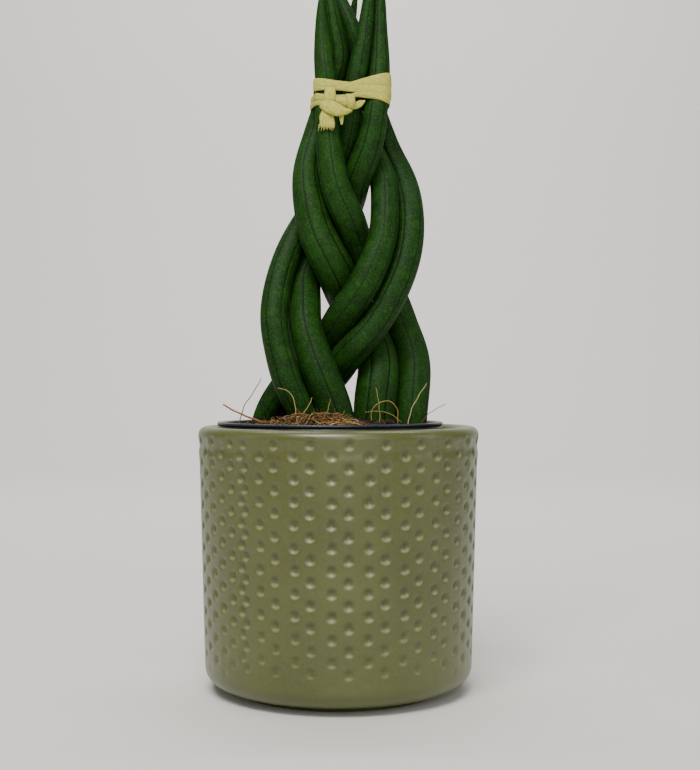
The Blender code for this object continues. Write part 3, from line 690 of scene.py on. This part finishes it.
def leaf_finish(name, yellow):
    """Waxy snake plant skin: dark green ground, fine yellow-green flecks and dark groove lines."""
    material, shader = new_finish("waxy leaf skin " + name)
    places = add_node(material, "ShaderNodeTexCoord").outputs["Object"]
    groove = add_node(material, "ShaderNodeAttribute", attribute_name="groove").outputs["Fac"]
    along = add_node(material, "ShaderNodeAttribute", attribute_name="along").outputs["Fac"]
    blotch = noise(material, places, 8.0, detail=3.0, roughness=0.6, distortion=0.5)
    fleck = noise(material, places, 0.85, detail=4.0, roughness=0.75)
    rows = add_node(material, "ShaderNodeMapping", {"Vector": places})
    rows.inputs["Scale"].default_value = (0.45, 0.45, 1.0)
    bars = noise(material, rows.outputs["Vector"], 2.2, detail=4.0, roughness=0.7)
    tone = colour_ramp(material, blotch, [(0.34, "071D06"), (0.52, "0C2A07"), (0.70, "163A09")])
    pale = spread_range(material, bars, 0.48, 0.72, 0.0, 0.45)
    tone = blend_colours(material, pale, tone, "1D430C")
    bright = spread_range(material, fleck, 0.52, 0.68, 0.0, 0.7)
    tone = blend_colours(material, bright, tone, "305D12")
    dull = spread_range(material, fleck, 0.36, 0.48, 0.75, 0.0)
    tone = blend_colours(material, dull, tone, "040D03")
    # The yellow-green mix is partly each leaf's own tone and partly painted light, lighter on the leaves
    # that lie more in shade.
    tone = blend_colours(material, 0.14 * yellow, tone, "43791A")
    line = spread_range(material, groove, 0.35, 0.85, 0.0, 0.92)
    tone = blend_colours(material, line, tone, "020601")
    tip = spread_range(material, along, 0.975, 1.0, 0.0, 0.9)
    tone = blend_colours(material, tip, tone, "7A6238")
    link(material, tone, shader, "Base Color")
    link(material, spread_range(material, blotch, 0.3, 0.7, 0.50, 0.62), shader, "Roughness")
    shader.inputs["IOR"].default_value = 1.42
    shader.inputs["Specular IOR Level"].default_value = 0.16
    skin = bump(material, bars, 0.12, strength=0.5)
    link(material, bump(material, fleck, 0.10, strength=0.6, before=skin), shader, "Normal")
    return material


def make_leaf(name, route):
    """One leaf: a tube with narrow grooves, crowned between them, tapering to its point."""
    grooves, first, yellow = LEAF_CHARACTER[name]
    draw = random.Random(name)
    finer = resample(route, LEAF_ALONG)
    angles = np.arange(LEAF_AROUND) / LEAF_AROUND * math.tau
    pattern = groove_pattern(angles, grooves, first, draw)
    along = np.linspace(0.0, 1.0, LEAF_ALONG)
    strength = 0.75 + 0.25 * np.sin(along * 23.0 + first)
    section = 1.0 - GROOVE_DEPTH * pattern[None, :] * strength[:, None]
    swell = 0.006 * np.sin(along * 61.0 + first)[:, None] * np.cos(2.0 * angles)[None, :]
    points = swept_points(finer, LEAF_AROUND, section + swell - 0.006)
    leaf = mesh_piece(name + "_skin", points.reshape(-1, 3), tube_faces(LEAF_ALONG, LEAF_AROUND))
    mark_points(leaf, "groove", (pattern[None, :] * np.ones((LEAF_ALONG, 1))).ravel())
    mark_points(leaf, "along", np.repeat(along, LEAF_AROUND))
    leaf.data.materials.append(leaf_finish(name, yellow))
    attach(leaf, "root")
    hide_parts(name)


SETTLED = settle_leaves()
for leaf_name, leaf_route in SETTLED.items():
    make_leaf(leaf_name, leaf_route)


# Substrate: peat and coir potting mix, heaped a little round the leaves, with crumbs and
# a tangle of orange-brown coir fibres on top, thickest at the front left.
SOIL_EDGE = 136.5
SOIL_CROWN = 143.0
SOIL_ROUGHNESS = 0.9
SOIL_AROUND = 200
SOIL_RINGS = 74
CRUMBS = 300
CRUMB_SEED = 21
TANGLE_FIBRES = 620
TANGLE_SEED = 33
# The heap of loose fibres at the front left: middle, reach and height
HEAP_X = -15.5
HEAP_Y = -29.0
HEAP_REACH_X = 19.0
HEAP_REACH_Y = 9.5
HEAP_RISE = 3.9
HEAP_SHARE = 0.82
STANDING_SHARE = 0.26
FIBRE_STEPS = 8
STRAW_STEPS = 24
STRAW_WAVE = 0.16
STRAW_SIDES = 6
# Long loose straws that the photograph shows: points (x, y, z), the thickness, and how pale it is
STRAWS = {
    "thick_straw": ([
        (-60.5, -12, 150.6), (-55.0, -14, 147.6), (-47.0, -17, 144.2), (-38.0, -20, 141.0)], 0.55, 0.6),
    "left_straw": ([
        (-40.3, -15, 164.3), (-44.0, -15, 157.5), (-49.0, -16, 150.0), (-51.8, -17, 139.8)], 0.3, 0.6),
    "pale_hook": ([
        (-31.0, -28, 159.3), (-25.5, -28.5, 157.6), (-22.6, -28.5, 153.0), (-22.0, -28, 141.5)], 0.23, 0.93),
    "small_fork": ([
        (-13.5, -27, 154.3), (-14.6, -27, 151.0), (-17.0, -27, 147.5), (-18.0, -26, 140.0)], 0.25, 0.9),
    "mid_sprig": ([
        (-4.0, -28, 153.6), (-5.0, -28, 149.0), (-6.6, -28, 144.5), (-7.0, -27, 140.0)], 0.18, 0.88),
    "upright_straw": ([
        (19.6, -14, 159.3), (20.6, -14, 155.0), (21.4, -14, 149.0), (21.8, -14, 140.0)], 0.2, 0.93),
    "arch_straw": ([
        (17.3, -17, 140.0), (17.4, -17, 147.0), (20.4, -17, 151.0), (27.5, -17, 152.1),
        (30.3, -16, 148.8), (31.2, -15, 140.0)], 0.25, 0.84),
    "low_straw": ([
        (14.0, -17, 146.6), (20.0, -18, 147.2), (26.0, -18, 146.2), (33.0, -18, 141.5)], 0.17, 0.86),
    "right_straw": ([
        (46.3, -13, 161.8), (41.8, -13, 154.6), (38.1, -14, 147.6), (36.3, -15, 139.6)], 0.24, 1.0),
    "far_straw": ([
        (57.2, 0, 150.8), (52.0, 0, 148.0), (47.0, -2, 144.6), (43.0, -3, 139.0)], 0.22, 0.4),
}


def soil_height(x, y):
    """Height of the substrate: a low heap, uneven by a few waves."""
    reach = np.hypot(x - NURSERY_X, y) / (NURSERY_TOP_RADIUS - NURSERY_WALL)
    heap = SOIL_EDGE + (SOIL_CROWN - SOIL_EDGE) * np.maximum(1.0 - reach * reach, 0.0)
    waves = np.sin(0.31 * x + 1.7) * np.cos(0.27 * y + 0.4) + 0.6 * np.sin(0.13 * x - 0.5 * y)
    return heap + SOIL_ROUGHNESS * waves * (1.0 - np.minimum(reach, 1.0) ** 4)


def soil_grain(x, y):
    """Small lumps of the mix, from waves that don't repeat."""
    lumps = np.sin(1.9 * x + 0.7 * y) * np.sin(1.3 * y - 0.9 * x + 1.1)
    lumps = lumps + 0.7 * np.sin(3.7 * x - 2.1 * y + 0.4) * np.sin(2.9 * y + 1.7 * x)
    return lumps + 0.4 * np.sin(6.1 * x + 3.3 * y) * np.sin(5.3 * y - 2.7 * x + 2.0)


def soil_finish():
    """Damp peat and coir pith: dark brown with rust-coloured grains."""
    material, shader = new_finish("peat and coir pith")
    places = add_node(material, "ShaderNodeTexCoord").outputs["Object"]
    grain = noise(material, places, 2.2, detail=6.0, roughness=0.75)
    patch = noise(material, places, 9.0, detail=2.0)
    tone = colour_ramp(material, grain, [(0.40, "050302"), (0.58, "130B05"), (0.78, "3E2611")])
    tone = blend_colours(material, spread_range(material, patch, 0.4, 0.7, 0.0, 0.4), tone, "120B06")
    link(material, tone, shader, "Base Color")
    shader.inputs["Roughness"].default_value = 0.92
    link(material, bump(material, grain, 0.6, strength=0.8), shader, "Normal")
    return material


def coir_finish():
    """Dry coir fibre: from rust brown to pale straw, a tint for each fibre."""
    material, shader = new_finish("dry coir fibre")
    places = add_node(material, "ShaderNodeTexCoord").outputs["Object"]
    tint = add_node(material, "ShaderNodeAttribute", attribute_name="tint").outputs["Fac"]
    stain = noise(material, places, 3.0, detail=3.0)
    tone = colour_ramp(material, tint, [(0.0, "140802"), (0.35, "582C0C"), (0.6, "8A561F"),
                                        (0.85, "A68742"), (1.0, "B8B074")])
    tone = blend_colours(material, spread_range(material, stain, 0.45, 0.7, 0.0, 0.45), tone, "3A200A")
    link(material, tone, shader, "Base Color")
    shader.inputs["Roughness"].default_value = 0.7
    return material


def leaf_middles(height):
    """Middle and radius of each leaf where it passes a height."""
    middles = []
    for route in SETTLED.values():
        nearest = int(np.abs(route[:, 2] - height).argmin())
        middles.append((route[nearest, 0], route[nearest, 1], route[nearest, 3]))
    return middles


def soil_profile():
    """Top, side and bottom of the mix as a turned blank."""
    side = nursery_radius(SOIL_EDGE) - NURSERY_WALL - 0.3
    floor = NURSERY_BASE + NURSERY_WALL + 0.3
    low = nursery_radius(floor) - NURSERY_WALL - 1.3
    profile = [(0.0, SOIL_EDGE)]
    profile += [(side * ring / SOIL_RINGS, SOIL_EDGE) for ring in range(1, SOIL_RINGS + 1)]
    profile += [(low, floor), (0.0, floor)]
    return profile


def crumb_points(draw):
    """Small broken grains that lie on the mix."""
    bpy.ops.object.select_all(action="DESELECT")
    bpy.ops.mesh.primitive_ico_sphere_add(subdivisions=1, radius=MM)
    model = bpy.context.object
    ball = mesh_points(model)
    faces = [tuple(face.vertices) for face in model.data.polygons]
    bpy.data.objects.remove(model, do_unlink=True)
    limit = nursery_radius(SOIL_EDGE) - NURSERY_WALL - 2.5
    points = []
    all_faces = []
    for _ in range(CRUMBS):
        reach = limit * math.sqrt(draw.random())
        angle = draw.uniform(0.0, math.tau)
        x = NURSERY_X + reach * math.cos(angle)
        y = reach * math.sin(angle)
        size = draw.uniform(0.6, 1.7)
        stretch = np.array([draw.uniform(0.7, 1.4), draw.uniform(0.7, 1.4), draw.uniform(0.5, 0.9)])
        wobble = np.array([[draw.uniform(0.75, 1.2)] for _ in ball])
        middle = np.array([x, y, float(soil_height(x, y)) + 0.3 * size])
        start = len(points)
        points.extend(ball * stretch * wobble * size + middle)
        all_faces.extend(tuple(start + corner for corner in face) for face in faces)
    return points, all_faces


def make_substrate():
    """The mix with its lumps, and the crumbs on it."""
    soil = turned_piece("substrate_mix", soil_profile(), SOIL_AROUND)
    points = mesh_points(soil)
    top = points[:, 2] > SOIL_EDGE - 1.0
    points[:, 0] += NURSERY_X
    x = points[top, 0]
    y = points[top, 1]
    inner = np.clip((nursery_radius(SOIL_EDGE) - 4.0 - np.hypot(x - NURSERY_X, y)) / 3.0, 0.0, 1.0)
    points[top, 2] = soil_height(x, y) + 0.38 * soil_grain(x, y) * inner - 0.2
    set_mesh_points(soil, points)
    soil.data.materials.append(soil_finish())
    draw = random.Random(CRUMB_SEED)
    crumb_places, crumb_faces = crumb_points(draw)
    crumbs = mesh_piece("substrate_crumbs", crumb_places, crumb_faces)
    crumbs.data.materials.append(soil.data.materials[0])
    for piece in (soil, crumbs):
        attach(piece, "root")
    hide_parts("substrate")


def heap_height(x, y):
    """How high the loose fibres lie on the mix."""
    away = ((x - HEAP_X) / HEAP_REACH_X) ** 4 + ((y - HEAP_Y) / HEAP_REACH_Y) ** 2
    return HEAP_RISE * math.exp(-away)


def fibre_route(draw, middles, limit):
    """A loose fibre, lying or standing, that keeps clear of the leaves, or nothing."""
    heaped = draw.random() < HEAP_SHARE
    if heaped:
        x = draw.uniform(HEAP_X - HEAP_REACH_X, HEAP_X + HEAP_REACH_X)
        y = draw.gauss(HEAP_Y, 5.0)
    else:
        reach = limit * math.sqrt(draw.random())
        angle = draw.uniform(0.0, math.tau)
        x = NURSERY_X + reach * math.cos(angle)
        y = reach * math.sin(angle)
    layer = draw.uniform(0.1, 1.0)
    heading = draw.gauss(0.0, 0.7) + math.pi * draw.randrange(2) if heaped else draw.uniform(0.0, math.tau)
    curl = draw.uniform(-2.2, 2.2)
    standing = heaped and draw.random() < STANDING_SHARE
    length = draw.uniform(2.0, 6.5) if standing else draw.uniform(5.0, 15.0)
    rise = draw.uniform(1.5, 5.5) if standing else draw.uniform(0.4, 3.2)
    thickness = draw.uniform(0.13, 0.36)
    route = []
    for step in range(FIBRE_STEPS):
        share = step / (FIBRE_STEPS - 1.0)
        arch = rise * (share if standing else math.sin(math.pi * (0.10 + 0.74 * share)))
        lift = layer * heap_height(x, y) - 0.8 + arch
        route.append((x, y, float(soil_height(x, y)) + lift, thickness * (1.0 - 0.45 * share)))
        turn = heading + curl * share
        x += length / (FIBRE_STEPS - 1.0) * math.cos(turn)
        y += length / (FIBRE_STEPS - 1.0) * math.sin(turn)
    inside = all(math.hypot(px - NURSERY_X, py) < limit for px, py, _, _ in route)
    clear = all(math.hypot(px - mx, py - my) > radius + 0.6
                for px, py, _, _ in route for mx, my, radius in middles)
    return np.array(route) if inside and clear else None


def tube_bundle(name, tubes, sides):
    """One piece from many thin tubes: each is its route and its tint."""
    points = []
    faces = []
    tints = []
    for route, tint in tubes:
        tube = swept_points(route, sides, np.ones((len(route), sides))).reshape(-1, 3)
        faces.extend(tube_faces(len(route), sides, len(points)))
        points.extend(tube)
        tints.extend([tint] * len(tube))
    bundle = mesh_piece(name, points, faces)
    mark_points(bundle, "tint", tints)
    return bundle


def tangle_tubes():
    """Routes and tints of the loose fibres."""
    draw = random.Random(TANGLE_SEED)
    middles = leaf_middles(SOIL_CROWN + 2.0)
    limit = nursery_radius(SOIL_EDGE) - NURSERY_WALL - 1.5
    tubes = []
    while len(tubes) < TANGLE_FIBRES:
        route = fibre_route(draw, middles, limit)
        if route is not None:
            tubes.append((route, draw.betavariate(0.85, 0.9)))
    return tubes


def straw_tubes():
    """Routes and tints of the long straws, each a little wavy and thinner at its tip."""
    tubes = []
    for knots, thickness, tint in STRAWS.values():
        route = smooth_route([(x, y, z, thickness) for x, y, z in knots], STRAW_STEPS)
        route[:, 3] *= np.linspace(0.75, 1.05, STRAW_STEPS)
        route[:, 0] += STRAW_WAVE * np.sin(np.linspace(0.0, 19.0, STRAW_STEPS))
        tubes.append((route, tint))
    return tubes


def make_coir():
    """The tangle of fibres as one piece, and the long loose straws as another."""
    tangle = tube_bundle("coir_tangle", tangle_tubes(), 3)
    straws = tube_bundle("loose_straws", straw_tubes(), STRAW_SIDES)
    finish = coir_finish()
    for piece in (tangle, straws):
        piece.data.materials.append(finish)
        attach(piece, "root")


make_substrate()
make_coir()


# Tie: a flat strip of pale raffia palm, wound tight round all six leaves and knotted in
# front. Its turns overlap, and its cut ends fray into threads.
TIE_THICKNESS = 0.28
TIE_LOOP_STEPS = 240
TIE_AROUND = 180
TIE_ACROSS = 9
KNOT_STEPS = 22
# Frayed end of the wide tail: its threads run from left to right along the torn edge
FRAY_SEED = 8
FRAY_THREADS = 22
FRAY_LEFT = -9.8
FRAY_WIDTH = 7.8
FRAY_FRONT = -19.0
FRAY_ROOT = 296.2
# Edges of the turns at the front, as (x, height): the top turn, the one that rises to the
# right behind it, the one that shows below on the right, and the one low on the left
LEVEL_TOP = [(-30, 322.3), (-12.6, 321.9), (-1.3, 320.0), (5.5, 319.3), (11.0, 317.9), (27.0, 317.5)]
LEVEL_FOOT = [(-30, 315.1), (-12.6, 315.1), (-0.3, 314.8), (11.3, 313.5), (27.0, 311.9)]
RISING_TOP = [
    (-30, 319.5), (0.0, 318.8), (5.5, 319.3), (8.6, 320.1), (12.8, 321.5), (18.1, 323.0), (26.0, 325.0)]
RISING_FOOT = [(-30, 316.5), (0.0, 316.0), (11.0, 316.0), (27.0, 316.4)]
LOWER_TOP = [
    (-30, 316.0), (-14.0, 315.2), (-9.0, 313.2), (0.0, 312.4), (6.0, 312.8), (10.0, 314.0), (27.0, 312.6)]
LOWER_FOOT = [
    (-30, 312.5), (-14.0, 311.8), (-9.0, 309.6), (0.0, 309.2), (8.0, 311.0), (12.8, 311.9),
    (18.1, 310.9), (27.0, 308.3)]
LEFT_TOP = [(-30, 312.8), (-14.0, 311.9), (-9.0, 309.5), (0.0, 310.5), (8.0, 313.0), (27.0, 312.2)]
LEFT_FOOT = [
    (-30, 309.8), (-14.0, 308.8), (-9.0, 307.0), (-6.0, 306.8), (0.0, 308.6), (8.0, 311.6), (27.0, 309.5)]
# Turns: name, edges, and how far each stands off the leaves
TIE_TURNS = [
    ("tie_level_turn", LEVEL_TOP, LEVEL_FOOT, 0.68),
    ("tie_rising_turn", RISING_TOP, RISING_FOOT, 0.38),
    ("tie_lower_turn", LOWER_TOP, LOWER_FOOT, 0.38),
    ("tie_left_turn", LEFT_TOP, LEFT_FOOT, 0.08)]
# Strips of the knot: name, how far each is crowned, and its stations, each
# (x, y, z, half width, lie in degrees)
KNOT_STRIPS = [
    ("tie_knot_fold", 1.0, [
        (-4.3, -16.6, 315.8, 2.4, 4.0), (-4.3, -18.2, 313.4, 2.8, 4.0), (-4.2, -18.8, 310.3, 3.1, -2.0),
        (-5.2, -18.2, 306.6, 3.0, -8.0)]),
    ("tie_knot_roll", 1.3, [
        (-1.5, -17.6, 308.8, 2.2, 88.0), (2.3, -18.8, 308.1, 2.7, 90.0), (4.9, -19.4, 307.8, 3.1, 90.0),
        (8.0, -18.6, 307.8, 2.8, 92.0)]),
    ("tie_knot_ring", 0.8, [
        (5.4, -18.0, 312.0, 1.7, 0.0), (6.2, -20.6, 310.3, 2.1, 2.0), (6.7, -21.4, 307.6, 2.1, 4.0),
        (6.6, -20.4, 304.9, 1.8, 6.0), (6.2, -18.4, 303.9, 1.4, 6.0)]),
    ("tie_knot_slant", 1.0, [
        (-9.0, -17.8, 307.0, 1.9, 66.0), (-6.6, -19.6, 305.8, 3.0, 70.0), (-3.0, -20.6, 304.4, 3.5, 74.0),
        (0.6, -20.8, 303.0, 3.1, 78.0), (4.2, -20.2, 302.6, 1.7, 84.0), (7.3, -19.2, 303.3, 0.4, 92.0)]),
    ("tie_leaf_tail", 0.5, [
        (7.4, -18.6, 304.9, 1.1, 110.0), (9.6, -19.0, 306.0, 1.7, 114.0), (11.8, -19.0, 307.2, 1.5, 118.0),
        (13.9, -18.4, 308.5, 0.3, 118.0)]),
    ("tie_wide_tail", 0.6, [
        (-5.4, -18.4, 303.5, 3.2, 4.0), (-6.0, -18.8, 300.5, 3.7, 2.0), (-5.7, -18.8, 297.0, 3.9, -2.0),
        (-5.9, -18.4, 294.6, 4.0, -4.0)]),
    ("tie_thin_tail", 0.3, [
        (1.6, -18.8, 302.5, 1.4, 4.0), (1.7, -18.8, 299.4, 1.1, 2.0), (1.8, -18.6, 296.0, 0.4, 0.0)])]


def edge_height(edge, x):
    """Height of a turn's edge at a distance across the front."""
    return np.interp(x, [place for place, _ in edge], [height for _, height in edge])


def bundle_loop(top, foot, offset, count):
    """Points of a tight loop round all the leaves, where they pass between a turn's two edges."""
    samples = np.vstack([resample(route, 400) for route in SETTLED.values()])
    above_foot = samples[:, 2] > edge_height(foot, samples[:, 0])
    below_top = samples[:, 2] < edge_height(top, samples[:, 0])
    discs = samples[above_foot & below_top]
    loop = []
    for index in range(count):
        angle = math.tau * index / count
        away = np.array([math.cos(angle), math.sin(angle)])
        reach = discs[:, :2] @ away + discs[:, 3]
        best = reach.argmax()
        loop.append(discs[best, :2] + (discs[best, 3] + offset) * away)
    return np.array(loop)


def even_loop(loop, count):
    """The same closed loop with evenly spaced points."""
    closed = np.vstack([loop, loop[:1]])
    steps = np.linalg.norm(np.diff(closed, axis=0), axis=1)
    place = np.concatenate([[0.0], np.cumsum(steps)])
    at = np.linspace(0.0, place[-1], count, endpoint=False)
    return np.stack([np.interp(at, place, closed[:, axis]) for axis in range(2)], axis=1)


def strip_finish():
    """Woven raffia strip: pale yellow-green, matt, with fine lengthwise fibres and a crinkled grain."""
    material, shader = new_finish("woven raffia strip")
    uv = add_node(material, "ShaderNodeUVMap", uv_map="strip").outputs["UV"]
    places = add_node(material, "ShaderNodeTexCoord").outputs["Object"]
    lay = add_node(material, "ShaderNodeMapping", {"Vector": uv})
    lay.inputs["Scale"].default_value = (0.12, 1.0, 1.0)
    threads = noise(material, lay.outputs["Vector"], 0.35, detail=3.0, roughness=0.7)
    crinkle = noise(material, uv, 0.55, detail=3.0, roughness=0.8)
    cloud = noise(material, places, 4.0, detail=4.0, roughness=0.6)
    tone = colour_ramp(material, threads, [(0.3, "8A842C"), (0.5, "B6B24A"), (0.72, "D6D27A")])
    tone = blend_colours(material, spread_range(material, cloud, 0.5, 0.75, 0.0, 0.4), tone, "A0A24A")
    tone = blend_colours(material, spread_range(material, crinkle, 0.55, 0.7, 0.0, 0.55), tone, "E2DFA0")
    tone = blend_colours(material, spread_range(material, crinkle, 0.32, 0.45, 0.5, 0.0), tone, "77742C")
    link(material, tone, shader, "Base Color")
    shader.inputs["Roughness"].default_value = 0.75
    shader.inputs["Specular IOR Level"].default_value = 0.3
    grain = bump(material, crinkle, 0.25, strength=0.9)
    link(material, bump(material, threads, 0.18, strength=0.8, before=grain), shader, "Normal")
    return material


def dress_tie(piece, finish):
    """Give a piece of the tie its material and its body."""
    piece.data.materials.append(finish)
    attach(piece, "root")


def strip_piece(name, middles, outs, lows, highs, finish, closed, crown=0.25):
    """A flat strip: for each station its middle line, the way out, and its low and high edges."""
    count = len(middles)
    points = []
    uvs = []
    run = 0.0
    for station in range(count):
        if station:
            run += float(np.linalg.norm(middles[station] - middles[station - 1]))
        for row in range(TIE_ACROSS):
            share = row / (TIE_ACROSS - 1)
            low = lows[station]
            high = highs[station]
            lift = crown * (1.0 - (2.0 * share - 1.0) ** 2)
            points.append(middles[station] + low + (high - low) * share + outs[station] * lift)
            uvs.append((run * MM, float(np.linalg.norm(high - low)) * share * MM))
    faces = []
    for station in range(count if closed else count - 1):
        after = (station + 1) % count
        for row in range(TIE_ACROSS - 1):
            faces.append((station * TIE_ACROSS + row, after * TIE_ACROSS + row,
                          after * TIE_ACROSS + row + 1, station * TIE_ACROSS + row + 1))
    piece = mesh_piece(name, points, faces)
    layer = piece.data.uv_layers.new(name="strip")
    for loop in piece.data.loops:
        layer.data[loop.index].uv = uvs[loop.vertex_index]
    wall = piece.modifiers.new("thickness", "SOLIDIFY")
    wall.thickness = TIE_THICKNESS * MM
    wall.offset = 0.0
    bpy.ops.object.select_all(action="DESELECT")
    piece.select_set(True)
    bpy.context.view_layer.objects.active = piece
    bpy.ops.object.modifier_apply(modifier=wall.name)
    piece.data.shade_smooth()
    dress_tie(piece, finish)
    return piece


def make_turn(name, top, foot, offset, finish):
    """One turn of the strip round the bundle, between the edges given for its front."""
    loop = even_loop(bundle_loop(top, foot, offset, TIE_LOOP_STEPS), TIE_AROUND)
    middles = []
    outs = []
    lows = []
    highs = []
    for index, (x, y) in enumerate(loop):
        before = loop[index - 1]
        after = loop[(index + 1) % TIE_AROUND]
        out = np.array([after[1] - before[1], before[0] - after[0], 0.0])
        out /= np.linalg.norm(out)
        high = edge_height(top, x)
        low = edge_height(foot, x)
        middle = 0.5 * (low + high)
        middles.append(np.array([x, y, middle]))
        outs.append(out)
        lows.append(np.array([0.0, 0.0, low - middle]))
        highs.append(np.array([0.0, 0.0, high - middle]))
    return strip_piece(name, middles, outs, lows, highs, finish, closed=True)


def make_knot_strip(name, crown, stations, finish):
    """A bent strip of the knot, smooth through its stations."""
    rows = smooth_route(stations, KNOT_STEPS)
    middles = [row[:3] for row in rows]
    outs = []
    lows = []
    highs = []
    for _, _, _, half, lie in rows:
        angle = math.radians(lie)
        side = np.array([math.cos(angle), 0.0, math.sin(angle)]) * half
        outs.append(np.array([0.0, -1.0, 0.0]))
        lows.append(-side)
        highs.append(side)
    return strip_piece(name, middles, outs, lows, highs, finish, closed=False, crown=crown)


def make_frayed_end(finish):
    """Short threads that stand out of the wide tail's torn end."""
    draw = random.Random(FRAY_SEED)
    points = []
    faces = []
    for index in range(FRAY_THREADS):
        share = index / (FRAY_THREADS - 1.0)
        x = FRAY_LEFT + FRAY_WIDTH * share + draw.uniform(-0.2, 0.2)
        length = draw.uniform(0.8, 2.6)
        drift = draw.uniform(-0.6, 0.6)
        knots = [(x, FRAY_FRONT, FRAY_ROOT, 0.22),
                 (x + 0.4 * drift, FRAY_FRONT - 0.2, FRAY_ROOT - 0.9 - 0.3 * length, 0.18),
                 (x + drift, FRAY_FRONT - 0.4, FRAY_ROOT - 1.2 - length, 0.08)]
        route = smooth_route(knots, 5)
        tube = swept_points(route, 4, np.ones((5, 4))).reshape(-1, 3)
        faces.extend(tube_faces(5, 4, len(points)))
        points.extend(tube)
    threads = mesh_piece("tie_frayed_threads", points, faces)
    layer = threads.data.uv_layers.new(name="strip")
    for loop in threads.data.loops:
        place = threads.data.vertices[loop.vertex_index].co
        layer.data[loop.index].uv = (place.z, place.x)
    dress_tie(threads, finish)


def make_tie():
    """The turns and the knot, in place of the plain band and knot."""
    finish = strip_finish()
    turns = {name: make_turn(name, top, foot, offset, finish) for name, top, foot, offset in TIE_TURNS}
    strips = {name: make_knot_strip(name, crown, stations, finish)
              for name, crown, stations in KNOT_STRIPS}
    make_frayed_end(finish)
    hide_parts("tie_band")
    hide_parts("tie_knot")


make_tie()
